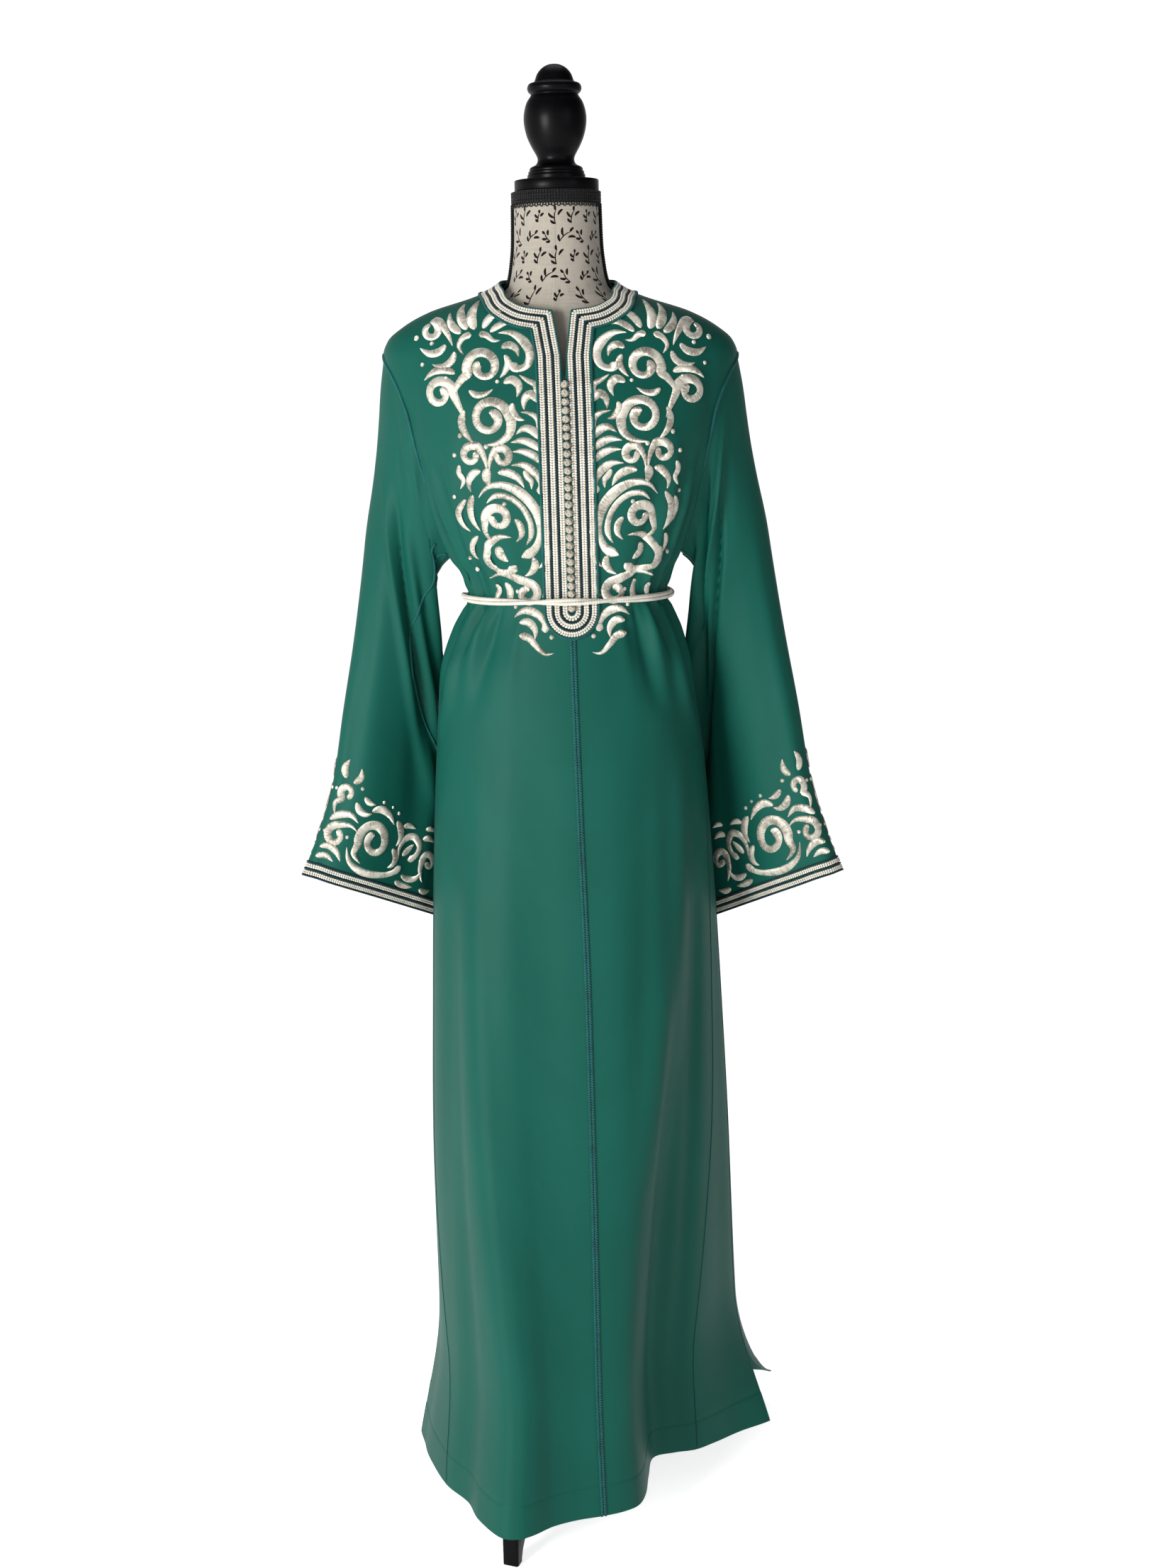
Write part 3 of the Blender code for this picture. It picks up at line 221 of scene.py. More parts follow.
LEG_FOOT = [(0.2370, 0.0440), (0.2370, 0.0)]
LEG_UNDER = [(0.2250, 0.0), (0.2190, 0.0160), (0.2060, 0.0300), (0.1850, 0.0420),
             (0.1580, 0.0640), (0.1260, 0.1020), (0.0900, 0.1390), (0.0560, 0.1590),
             (0.0242, 0.1640)]
LEG_W = 0.020
LEG_AT = [("leg_front", -112.5), ("leg_right", 31.0), ("leg_left", 141.0)]

# ------------------------------------------------------------------ light levels
VIEW = "Standard"
EXPOSURE = 0.0
WORLD = 1.05
DOME = 0.20
AWAY = 0.28
FLOOR_GLOW = 0.78
# name, place, aim, size, power, colour
LIGHTS = [
    ("key", (-2.5, -3.3, 1.35), (0.0, 0.0, 0.90), (1.3, 1.6), 210.0, (1.0, 0.995, 0.98)),
    ("fill", (2.8, -2.8, 1.9), (0.0, 0.0, 0.95), (1.6, 2.2), 16.0, (0.97, 0.99, 1.0)),
    ("top", (0.0, 0.6, 3.6), (0.0, 0.0, 1.2), (1.6, 1.6), 14.0, (1.0, 1.0, 1.0)),
]

# ------------------------------------------------------------------ smooth tables
def unit(a):
    return a / np.maximum(np.linalg.norm(a, axis=-1, keepdims=True), 1e-12)


def ramp(a, b, x):
    t = np.clip((np.asarray(x, float) - a) / (b - a), 0.0, 1.0)
    return t * t * (3.0 - 2.0 * t)


def hermite(t, h, y0, y1, m0, m1):
    return ((2 * t ** 3 - 3 * t ** 2 + 1) * y0 + (t ** 3 - 2 * t ** 2 + t) * h * m0
            + (3 * t ** 2 - 2 * t ** 3) * y1 + (t ** 3 - t ** 2) * h * m1)


def curve(table, x, column):
    """Smooth values of one column of a table whose first column rises."""
    xs = np.array([row[0] for row in table], float)
    ys = np.array([row[column] for row in table], float)
    d = np.diff(ys) / np.diff(xs)
    m = np.empty(len(xs))
    m[0], m[-1] = d[0], d[-1]
    both = d[:-1] * d[1:]
    total = np.where(both > 0.0, d[:-1] + d[1:], 1.0)
    m[1:-1] = np.where(both > 0.0, 2.0 * both / total, 0.0)
    x = np.clip(np.asarray(x, float), xs[0], xs[-1])
    i = np.clip(np.searchsorted(xs, x, side="right") - 1, 0, len(xs) - 2)
    h = xs[i + 1] - xs[i]
    return hermite((x - xs[i]) / h, h, ys[i], ys[i + 1], m[i], m[i + 1])


def ring_curve(table, u, column):
    """Smooth values round a closed ring of rows (name, u, x, y)."""
    us = np.array([row[1] for row in table], float)
    ys = np.array([row[column] for row in table], float)
    n = len(us)
    u = np.asarray(u, float) % 1.0
    i = np.clip(np.searchsorted(us, u, side="right") - 1, 0, n - 1)
    xa = np.where(i > 0, us[i - 1], us[-1] - 1.0)
    x1 = np.where(i < n - 1, us[(i + 1) % n], us[0] + 1.0)
    xb = np.where(i < n - 2, us[(i + 2) % n], us[(i + 2) % n] + 1.0)
    x0, y0, y1, ya, yb = us[i], ys[i], ys[(i + 1) % n], ys[i - 1], ys[(i + 2) % n]
    h = x1 - x0
    return hermite((u - x0) / h, h, y0, y1, (y1 - ya) / (x1 - xa), (yb - y0) / (xb - x0))


# ------------------------------------------------------------------ body surface
def section(u, z):
    a = 2.0 * np.pi * u
    s, c = np.sin(a), np.cos(a)
    half, front, back, mx, my = (curve(SECTIONS, z, k) for k in range(1, 6))
    square = 1.0 + 0.035 * ramp(1.43, 1.30, z) * np.sin(2.0 * a) ** 2
    return mx + half * square * s, my - np.where(c > 0.0, front, back) * square * c


def plain_body(u, z):
    x, y = section(u, z)
    g = np.maximum(0.0, (1.02 - z) / (1.02 - HEM_Z)) ** 1.45
    uu = u % 1.0
    lift = np.clip((z - 0.10) / 0.55, 0.0, 1.0)
    uu = np.where(uu < 0.25, uu - 0.034 * lift * lift * np.sin(np.pi * uu / 0.25), uu)
    ex, ey = section(uu, np.full_like(uu, HEM_Z))
    return x + g * (ring_curve(HEM, uu, 2) - ex), y + g * (ring_curve(HEM, uu, 3) - ey)


def body_point(u, z, side=0):
    """Outer cloth surface; side says which flap of a slit u belongs to."""
    u, z = np.broadcast_arrays(np.asarray(u, float), np.asarray(z, float))
    u, z = u.copy(), z.copy()
    x, y = plain_body(u, z)
    ax, ay = plain_body(u - 0.002, z)
    bx, by = plain_body(u + 0.002, z)
    tx, ty = bx - ax, by - ay
    n = np.maximum(np.hypot(tx, ty), 1e-9)
    tx, ty = tx / n, ty / n
    total = np.zeros_like(u)
    for name, u0, z0, u1, z1, wide, high in FOLDS:
        t = (z0 - z) / (z0 - z1)
        inside = (t > 0.0) & (t < 1.0)
        tt = np.clip(t, 0.0, 1.0)
        off = (u - (u0 + (u1 - u0) * tt) + 0.5) % 1.0 - 0.5
        h = high * np.exp(-(off / wide) ** 2) * np.sin(np.pi * tt) ** 0.8
        total += np.where(inside & (np.abs(off) < 3.0 * wide), h, 0.0)
    total *= 1.0 - np.exp(-((z - BELT_Z) / 0.022) ** 2)
    x, y = x + total * ty, y - total * tx
    for name, uf, way, dx, dy, late in FLAPS:
        open_ = np.clip((SLIT_TOP - z) / (SLIT_TOP - HEM_Z), 0.0, 1.0) ** late
        d = (u - uf + 0.5) % 1.0 - 0.5
        here = (d * way >= -1e-9) & (d * way < 0.065) & ((side == way) | ((side == 0) & (d * way > 1e-9)))
        f = np.where(here, open_ * np.clip(1.0 - d * way / 0.065, 0.0, 1.0) ** 1.6, 0.0)
        x, y = x + f * dx, y + f * dy
    drop = 0.016 * x * ramp(1.30, 1.42, z)
    return np.stack([x, y, z - drop], -1)


def body_normal(u, z, side=0):
    u, z = np.broadcast_arrays(np.asarray(u, float), np.asarray(z, float))
    if side:
        du = (body_point(u + 0.003 * side, z, side) - body_point(u, z, side)) * side
    else:
        du = body_point(u + 0.0015, z) - body_point(u - 0.0015, z)
    up, dn = np.minimum(z + 0.002, SECTIONS[-1][0]), np.maximum(z - 0.002, HEM_Z)
    return unit(np.cross(du, body_point(u, up, side) - body_point(u, dn, side)))


def neck_z(u):
    return curve(NECKLINE, np.abs(((np.asarray(u, float) + 0.5) % 1.0) - 0.5) * 360.0, 1)


def u_at_x(x, z):
    """u near the front whose point lies at x."""
    x, z = np.broadcast_arrays(np.asarray(x, float), np.asarray(z, float))
    half, mx = curve(SECTIONS, z, 1), curve(SECTIONS, z, 4)
    u = np.arcsin(np.clip((x - mx) / half, -0.97, 0.97)) / (2.0 * np.pi)
    for _ in range(8):
        px = body_point(u, z)[..., 0]
        slope = (body_point(u + 0.002, z)[..., 0] - body_point(u - 0.002, z)[..., 0]) / 0.004
        u = u + np.clip((x - px) / np.maximum(slope, 0.12), -0.02, 0.02)
        u = np.clip(u, -0.248, 0.248)
    return u


def centre_x(z):
    return curve(CENTRE_X, z, 1)


def centre_half(z):
    z = np.asarray(z, float)
    return np.where(z <= V_FOOT_Z, SEAM / 2, np.maximum(SEAM / 2, V_HALF * (z - V_FOOT_Z) / (1.4515 - V_FOOT_Z)))


def arm_u(z, back=False):
    return curve(ARMHOLE, z, 2 if back else 1) / 360.0


# gathers held by the belt: generated, uneven in place, length and depth
GATHERS = []
for k in range(30):
    near = 0.062 + 0.876 * ((k + 0.5) / 30.0) + 0.007 * math.sin(k * 2.4 + 0.6)
    GATHERS.append((near, 0.0040 + 0.0026 * (0.5 + 0.5 * math.sin(k * 1.7)),
                    0.0017 + 0.0019 * (0.5 + 0.5 * math.sin(k * 3.1 + 1.0)),
                    0.020 + 0.022 * (0.5 + 0.5 * math.sin(k * 2.2 + 2.0)),
                    0.026 + 0.046 * (0.5 + 0.5 * math.sin(k * 1.3 + 0.4))))
# folds drawn in by the belt: place round the body, slant, half width in u, depth
WAIST_PLEATS = [
    (-0.212, 0.10, 0.0060, 0.0052), (-0.190, 0.07, 0.0050, -0.0056), (-0.171, 0.05, 0.0052, 0.0060),
    (-0.150, 0.04, 0.0048, -0.0054), (-0.132, 0.03, 0.0050, 0.0040), (-0.108, 0.03, 0.0046, -0.0034),
    (0.108, -0.03, 0.0046, -0.0034), (0.130, -0.03, 0.0050, 0.0042), (0.150, -0.05, 0.0048, -0.0056),
    (0.170, -0.07, 0.0052, 0.0060), (0.190, -0.09, 0.0050, -0.0060), (0.213, -0.12, 0.0060, 0.0052),
    (0.300, 0.02, 0.0060, -0.0036), (0.345, 0.02, 0.0060, 0.0036), (0.395, 0.00, 0.0060, -0.0032),
    (0.455, 0.00, 0.0060, 0.0030), (0.545, 0.00, 0.0060, 0.0030), (0.605, 0.00, 0.0060, -0.0032),
    (0.655, -0.02, 0.0060, 0.0036), (0.700, -0.02, 0.0060, -0.0036),
]
# long soft creases: name, u top, z top, u foot, z foot, half width in u, depth
CREASES = [
    ("front left soft", -0.070, 1.060, -0.092, 0.520, 0.020, 0.0020),
    ("front left hollow", -0.030, 1.040, -0.040, 0.300, 0.022, -0.0016),
    ("front right soft", 0.052, 1.050, 0.044, 0.420, 0.020, 0.0018),
    ("front right hollow", 0.095, 1.010, 0.062, 0.420, 0.014, -0.0022),
    ("knee ripple left", -0.150, 0.740, -0.160, 0.200, 0.012, 0.0018),
    ("knee ripple right", 0.128, 0.700, 0.104, 0.160, 0.010, -0.0020),
    ("breast drag left", -0.105, 1.330, -0.150, 1.190, 0.012, 0.0016),
    ("breast drag right", 0.110, 1.330, 0.152, 1.185, 0.012, 0.0016),
    ("shoulder drag left", -0.150, 1.420, -0.176, 1.300, 0.013, -0.0016),
    ("shoulder drag right", 0.150, 1.420, 0.178, 1.295, 0.013, -0.0018),
    ("side pleat left 1", -0.158, 1.310, -0.166, 1.060, 0.0062, 0.0046),
    ("side pleat left 2", -0.174, 1.300, -0.180, 1.070, 0.0058, -0.0050),
    ("side pleat left 3", -0.190, 1.290, -0.194, 1.060, 0.0062, 0.0046),
    ("side pleat left 4", -0.208, 1.270, -0.208, 1.080, 0.0060, -0.0046),
    ("side pleat right 1", 0.150, 1.300, 0.160, 1.070, 0.0066, 0.0042),
    ("side pleat right 2", 0.168, 1.310, 0.174, 1.060, 0.0058, -0.0052),
    ("side pleat right 3", 0.186, 1.300, 0.190, 1.070, 0.0062, 0.0046),
    ("side pleat right 4", 0.205, 1.280, 0.205, 1.075, 0.0060, -0.0048),
    ("breast fall left", -0.128, 1.300, -0.140, 1.110, 0.0100, 0.0026),
    ("breast fall right", 0.126, 1.300, 0.136, 1.110, 0.0100, 0.0026),
    ("thigh ridge left", -0.112, 0.980, -0.126, 0.300, 0.0180, 0.0034),
    ("thigh hollow left", -0.160, 0.960, -0.172, 0.200, 0.0160, -0.0030),
    ("thigh hollow right", 0.118, 0.960, 0.112, 0.140, 0.0130, -0.0036),
    ("thigh ridge right", 0.150, 0.960, 0.140, 0.120, 0.0150, 0.0036),
    ("knee step right", 0.176, 0.860, 0.160, 0.080, 0.0120, -0.0034),
    ("back hollow 1", 0.350, 1.060, 0.342, 0.300, 0.014, -0.0024),
    ("back hollow 2", 0.408, 1.020, 0.410, 0.200, 0.013, -0.0020),
    ("back ridge 1", 0.470, 0.980, 0.476, 0.160, 0.014, 0.0022),
    ("back hollow 3", 0.530, 1.040, 0.524, 0.260, 0.014, -0.0022),
    ("back hollow 4", 0.590, 1.020, 0.596, 0.200, 0.013, -0.0020),
    ("back ridge 2", 0.652, 1.050, 0.648, 0.260, 0.014, 0.0022),
    ("back yoke drag 1", 0.385, 1.400, 0.360, 1.240, 0.013, -0.0016),
    ("back yoke drag 2", 0.610, 1.400, 0.636, 1.250, 0.013, -0.0016),
]


def body_detail(u, z):
    """Height of the gathers, small creases and the turned hem over the plain surface."""
    u, z = np.broadcast_arrays(np.asarray(u, float), np.asarray(z, float))
    h = np.zeros(u.shape)
    up = z - BELT_Z
    for near, wide, high, over, under in GATHERS:
        off = (u - near + 0.5) % 1.0 - 0.5
        reach = np.where(up > 0.0, over, under)
        a = np.abs(up) / reach
        h += high * np.exp(-(off / (wide * (1.0 + 0.8 * a))) ** 2) * 1.6 * a * np.exp(-a * 1.15)
    for name, u0, z0, u1, z1, wide, high in CREASES:
        t = np.clip((z0 - z) / (z0 - z1), 0.0, 1.0)
        off = (u - (u0 + (u1 - u0) * t) + 0.5) % 1.0 - 0.5
        h += high * np.exp(-(off / wide) ** 2) * np.sin(np.pi * t)
    # cloth drawn in at the waist: three folds each side, above and below the belt
    for near, slant, wide, high in WAIST_PLEATS:
        off = (u - (near + slant * up) + 0.5) % 1.0 - 0.5
        reach = np.where(up > 0.0, 0.120, 0.085)
        a = np.abs(up) / reach
        h += high * np.exp(-(off / (wide * (1.0 + 1.2 * a))) ** 2) * ramp(0.0, 0.16, a) * ramp(1.7, 0.4, a)
    h += 0.00045 * (1.0 - ramp(HEM_Z + 0.0355, HEM_Z + 0.0365, z))          # turned hem
    h -= 0.00035 * np.exp(-((z - HEM_Z - 0.0372) / 0.0007) ** 2)             # its stitch line
    return h


def skin(u, z, side=0):
    n = body_normal(u, z, side)
    h = body_detail(u, z)
    return body_point(u, z, side) + n * h[..., None], n


# ------------------------------------------------------------------ sleeve surface
ARM_ROWS = [row[0] for row in reversed(ARMHOLE)]


def armhole_point(side, phi):
    phi = np.asarray(phi, float) % 1.0
    back = phi > 0.5
    t = np.where(back, (1.0 - phi) * 2.0, phi * 2.0)
    n = len(ARM_ROWS) - 1
    z = np.interp(t * n, np.arange(n + 1), ARM_ROWS)
    a = np.where(back, arm_u(z, True), arm_u(z, False))
    a = np.where(t > 0.999, 0.25, a)
    return side * np.where(back, 0.5 - a, a), z


def sleeve_loop(phi, w):
    ox, oy, oz, ix, iy, iz, front, back = (curve(SLEEVE, w, k) for k in range(1, 9))
    a = 2.0 * np.pi * phi
    e = (1.0 - np.cos(a)) / 2.0
    dx, dy = ix - ox, iy - oy
    n = np.hypot(dx, dy)
    nx, ny = -dy / n, dx / n
    turn = np.where(ny > 0.0, -1.0, 1.0)
    s = np.sin(a)
    h = np.where(s > 0.0, front, -back) * np.abs(s) ** 0.9
    return np.stack([ox + dx * e + nx * turn * h, oy + dy * e + ny * turn * h, oz + (iz - oz) * e], -1)


# small creases on the sleeves: name, side, phi and w at the top, phi and w at the foot, half width, depth
SLEEVE_CREASES = [
    ("drag under tip right", 1, 0.090, 0.02, 0.170, 0.34, 0.022, -0.0026),
    ("drag under tip left", -1, 0.080, 0.02, 0.160, 0.30, 0.022, -0.0024),
    ("long soft right", 1, 0.210, 0.10, 0.230, 0.92, 0.035, 0.0026),
    ("long hollow right", 1, 0.260, 0.30, 0.290, 1.20, 0.022, -0.0022),
    ("lower soft right", 1, 0.120, 0.50, 0.110, 1.30, 0.030, -0.0020),
    ("long soft left", -1, 0.080, 0.10, 0.110, 0.90, 0.035, 0.0022),
    ("mid hollow left", -1, 0.230, 0.30, 0.260, 1.00, 0.028, -0.0034),
    ("mid ridge left", -1, 0.290, 0.40, 0.300, 1.10, 0.020, 0.0028),
    ("lit band right", 1, 0.085, 0.02, 0.420, 0.52, 0.022, 0.0062),
    ("groove right", 1, 0.118, 0.08, 0.375, 0.74, 0.018, -0.0115),
    ("outer soft right", 1, 0.060, 0.30, 0.050, 1.20, 0.030, 0.0030),
    ("diagonal left", -1, 0.040, 0.20, 0.315, 0.80, 0.014, 0.0056),
    ("diagonal hollow left", -1, 0.082, 0.17, 0.355, 0.78, 0.021, -0.0125),
    ("inner hollow left", -1, 0.150, 0.14, 0.390, 0.72, 0.040, -0.0085),
    ("outer soft left", -1, 0.060, 0.40, 0.060, 1.30, 0.030, -0.0026),
    ("back soft right", 1, 0.860, 0.10, 0.880, 1.20, 0.030, -0.0026),
    ("back soft left", -1, 0.850, 0.10, 0.870, 1.20, 0.030, -0.0026),
    ("back ridge right", 1, 0.770, 0.20, 0.760, 1.20, 0.026, 0.0026),
    ("back ridge left", -1, 0.780, 0.20, 0.770, 1.20, 0.026, 0.0026),
]


def sleeve_point(side, phi, w):
    phi, w = np.broadcast_arrays(np.asarray(phi, float), np.asarray(w, float))
    phi, w = phi.copy(), w.copy()
    p = sleeve_loop(phi, w)
    p[..., 0] *= side
    k = ramp(0.34, 0.0, w)
    u, z = armhole_point(side, phi)
    q = sleeve_loop(phi, np.zeros_like(w))
    q[..., 0] *= side
    p = p + (body_point(u, z) - q) * k[..., None]
    narrow, inner, cuff = ARM_TRIM[side]
    e = (1.0 - np.cos(2.0 * np.pi * phi)) / 2.0
    bump = np.sin(np.pi * np.clip(w, 0.0, 1.0) ** 0.9)
    p[..., 0] -= side * bump * (narrow * (1.0 - e) - inner * e)
    p[..., 2] += cuff * ramp(0.70, 1.0, w)
    h = np.zeros_like(phi)
    for table, power in ((SLEEVE_FOLDS, 0.7), (SLEEVE_CREASES, 1.0)):
        for name, sd, p0, w0, p1, w1, wide, high in table:
            if sd != side:
                continue
            t = np.clip((w - w0) / (w1 - w0), 0.0, 1.0)
            off = (phi - (p0 + (p1 - p0) * t) + 0.5) % 1.0 - 0.5
            h += high * np.exp(-(off / wide) ** 2) * np.sin(np.pi * t) ** power
    a = sleeve_loop(phi + 0.004, w) - sleeve_loop(phi - 0.004, w)
    n = unit(np.stack([a[..., 1], -a[..., 0]], -1))
    mid = 0.5 * (sleeve_loop(np.full_like(phi, 0.25), w) + sleeve_loop(np.full_like(phi, 0.75), w))
    out = (n * (sleeve_loop(phi, w) - mid)[..., :2]).sum(-1)
    n = n * np.where(out < 0.0, -1.0, 1.0)[..., None]
    p[..., 0] += n[..., 0] * side * h
    p[..., 1] += n[..., 1] * h
    return p


def sleeve_normal(side, phi, w):
    dp = sleeve_point(side, phi + 0.004, w) - sleeve_point(side, phi - 0.004, w)
    dw = sleeve_point(side, phi, np.minimum(1.0, w + 0.01)) - sleeve_point(side, phi, np.maximum(0.0, w - 0.01))
    return unit(np.cross(dp, dw)) * side


# ------------------------------------------------------------------ mesh helpers
def make(name, verts, faces, mat, uv=None, smooth=True, sharp=None, recalc=False, replace=()):
    """One piece from points (design frame) and faces, riding on the model."""
    me = bpy.data.meshes.new(name)
    verts = np.asarray(verts, float).reshape(-1, 3) + SHIFT
    listed = []
    for f in faces:
        listed += [list(map(int, row)) for row in (f.tolist() if isinstance(f, np.ndarray) else f)]
    me.from_pydata(verts.tolist(), [], listed)
    if recalc:
        bm = bmesh.new()
        bm.from_mesh(me)
        bmesh.ops.recalc_face_normals(bm, faces=bm.faces)
        if bm.calc_volume(signed=True) < 0.0:
            bmesh.ops.reverse_faces(bm, faces=bm.faces)
        bm.to_mesh(me)
        bm.free()
    if uv is not None:
        uv = np.asarray(uv, np.float32).reshape(-1, 2)
        index = np.empty(len(me.loops), np.int32)
        me.loops.foreach_get("vertex_index", index)
        me.uv_layers.new(name="UVMap").data.foreach_set("uv", uv[index].ravel())
    me.materials.append(mat)
    if smooth:
        me.shade_smooth()
        if sharp:
            me.set_sharp_from_angle(angle=math.radians(sharp))
    ob = bpy.data.objects.new(name, me)
    bpy.context.scene.collection.objects.link(ob)
    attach(ob, "root")
    if replace:
        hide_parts(*replace)
    return ob


def grid_faces(rows, cols, wrap=False, base=0, flip=False):
    j = np.arange(cols if wrap else cols - 1)
    k = (j + 1) % cols
    i = np.arange(rows - 1)[:, None]
    f = np.stack([base + i * cols + j, base + i * cols + k,
                  base + (i + 1) * cols + k, base + (i + 1) * cols + j], -1).reshape(-1, 4)
    return f[:, ::-1] if flip else f


def shell(name, outer, normal, mat, replace, thick=0.0013, wrap=False, uv=None):
    """A closed cloth wall from a grid of outer points."""
    rows, cols = outer.shape[:2]
    half = rows * cols
    verts = np.concatenate([outer.reshape(-1, 3), (outer - normal * thick).reshape(-1, 3)])
    faces = [grid_faces(rows, cols, wrap), grid_faces(rows, cols, wrap, half, True)]
    j = np.arange(cols if wrap else cols - 1)
    k = (j + 1) % cols
    for i in (0, rows - 1):
        faces.append(np.stack([i * cols + j, i * cols + k, half + i * cols + k, half + i * cols + j], -1))
    if not wrap:
        i = np.arange(rows - 1)
        for c in (0, cols - 1):
            faces.append(np.stack([i * cols + c, (i + 1) * cols + c,
                                   half + (i + 1) * cols + c, half + i * cols + c], -1))
    both = None if uv is None else np.concatenate([uv.reshape(-1, 2)] * 2)
    return make(name, verts, faces, mat, uv=both, recalc=True, replace=replace, sharp=60)


def frames(path, normal, closed=False):
    """Tangent, side and normal at each point of a path on the cloth."""
    if closed:
        t = unit(np.roll(path, -1, 0) - np.roll(path, 1, 0))
    else:
        t = np.gradient(path, axis=0)
        t = unit(t)
    b = unit(np.cross(t, normal))
    return t, b, unit(np.cross(b, t))


def resample(path, normal, step, closed=False):
    """The same path with points a step apart."""
    pts = np.concatenate([path, path[:1]]) if closed else path
    nor = np.concatenate([normal, normal[:1]]) if closed else normal
    s = np.concatenate([[0.0], np.cumsum(np.linalg.norm(np.diff(pts, axis=0), axis=1))])
    n = max(3, int(round(s[-1] / step)))
    at = np.linspace(0.0, s[-1], n + 1)
    if closed:
        at = at[:-1]
    p = np.stack([np.interp(at, s, pts[:, k]) for k in range(3)], -1)
    q = unit(np.stack([np.interp(at, s, nor[:, k]) for k in range(3)], -1))
    return p, q, at


def tube_parts(path, normal, radius, sides=8, closed=False, lift=0.0, flat=1.0):
    """Points, faces and uv of a round cord along a path."""
    t, b, n = frames(path, normal, closed)
    a = 2.0 * np.pi * np.arange(sides) / sides
    r = np.broadcast_to(np.asarray(radius, float), (len(path),))[:, None, None]
    ring = (path + n * lift)[:, None] + r * (b[:, None] * np.cos(a)[None, :, None]
                                             + flat * n[:, None] * np.sin(a)[None, :, None])
    rows = len(path)
    verts = ring.reshape(-1, 3)
    if closed:
        i = np.arange(rows)[:, None]
        j = np.arange(sides)
        k = (j + 1) % sides
        i2 = (i + 1) % rows
        faces = [np.stack([i * sides + j, i2 * sides + j, i2 * sides + k, i * sides + k], -1).reshape(-1, 4)]
    else:
        faces = [grid_faces(rows, sides, True, 0, True),
                 [list(range(sides)), list(reversed(range((rows - 1) * sides, rows * sides)))]]
    s = np.concatenate([[0.0], np.cumsum(np.linalg.norm(np.diff(path, axis=0), axis=1))])
    uv = np.stack([np.repeat(s, sides), np.tile(np.arange(sides) / sides, rows)], -1)
    return verts, faces, uv


def joined(parts):
    """Several (points, faces, uv) as one."""
    verts, faces, uvs, base = [], [], [], 0
    for v, f, uv in parts:
        verts.append(v)
        uvs.append(uv)
        for g in f:
            if isinstance(g, np.ndarray):
                faces.append(g + base)
            else:
                faces.append([[x + base for x in row] for row in g])
        base += len(v)
    return np.concatenate(verts), faces, np.concatenate(uvs)


def bead_shape(segments, rings):
    """A unit ball: long axis X, across Y, up Z."""
    verts, faces = [(-1.0, 0.0, 0.0)], []
    for i in range(1, rings + 1):
        t = math.pi * i / (rings + 1)
        for j in range(segments):
            a = 2 * math.pi * j / segments
            verts.append((-math.cos(t), math.sin(t) * math.cos(a), math.sin(t) * math.sin(a)))
    verts.append((1.0, 0.0, 0.0))
    for j in range(segments):
        k = (j + 1) % segments
        faces.append((0, 1 + k, 1 + j))
        for i in range(rings - 1):
            p, q = 1 + i * segments, 1 + (i + 1) * segments
            faces += [(p + j, p + k, q + k), (p + j, q + k, q + j)]
        last = 1 + (rings - 1) * segments
        faces.append((len(verts) - 1, last + j, last + k))
    return np.array(verts), np.array(faces)


BEAD = bead_shape(6, 3)
SMALL_BEAD = bead_shape(5, 2)


def beads(centre, along, across, up, size, shape=BEAD):
    """Balls of (half length, half width, half height) at many places."""
    v, f = shape
    p = (centre[:, None] + v[None, :, 0, None] * along[:, None] * size[0]
         + v[None, :, 1, None] * across[:, None] * size[1]
         + v[None, :, 2, None] * up[:, None] * size[2])
    faces = (f[None] + (np.arange(len(centre)) * len(v))[:, None, None]).reshape(-1, 3)
    uv = np.tile(np.stack([v[:, 0] * size[0], v[:, 1] * size[1]], -1), (len(centre), 1))
    return p.reshape(-1, 3), [faces], uv


def chevron_row(path, normal, wide, pitch, thick, lift, closed, slant=52.0):
    """A flat braid: slanted stitches in two halves that meet on its middle line."""
    p, n, s = resample(path, normal, pitch, closed)
    t, b, n = frames(p, n, closed)
    c, d = math.cos(math.radians(slant)), math.sin(math.radians(slant))
    size = (wide * 0.30, pitch * 0.52, thick / 2)
    parts = []
    for way in (1.0, -1.0):
        along = unit(t * c + b * d * way)
        across = unit(np.cross(n, along))
        centre = p + b * (way * wide * 0.235) + n * (lift + thick / 2)
        parts.append(beads(centre, along, across, n, size))
    return parts


def rope_row(path, normal, radius, pitch, lift, closed, slant=35.0):
    """A thin twisted cord: slanted stitches one after another."""
    p, n, s = resample(path, normal, pitch, closed)
    t, b, n = frames(p, n, closed)
    c, d = math.cos(math.radians(slant)), math.sin(math.radians(slant))
    along = unit(t * c + b * d)
    return [beads(p + n * (lift + radius * 0.8), along, unit(np.cross(n, along)), n,
                  (radius * 1.35, pitch * 0.62, radius), SMALL_BEAD)]


def flat_band(path, normal, wide, thick, lift, closed):
    """A thin flat tape under a row of stitches."""
    t, b, n = frames(path, normal, closed)
    w = b * (wide / 2)
    lo, hi = path + n * lift, path + n * (lift + thick)
    ring = np.stack([lo - w, hi - w, hi + w, lo + w], 1)
    rows = len(path)
    verts = ring.reshape(-1, 3)
    j = np.arange(4)
    k = (j + 1) % 4
    i = np.arange(rows if closed else rows - 1)[:, None]
    i2 = (i + 1) % rows
    faces = [np.stack([i * 4 + j, i * 4 + k, i2 * 4 + k, i2 * 4 + j], -1).reshape(-1, 4)]
    if not closed:
        faces.append([[3, 2, 1, 0], [4 * rows - 4, 4 * rows - 3, 4 * rows - 2, 4 * rows - 1]])
    s = np.concatenate([[0.0], np.cumsum(np.linalg.norm(np.diff(path, axis=0), axis=1))])
    uv = np.stack([np.repeat(s, 4), np.tile([0.0, 0.0, wide, wide], rows)], -1)
    return verts, faces, uv


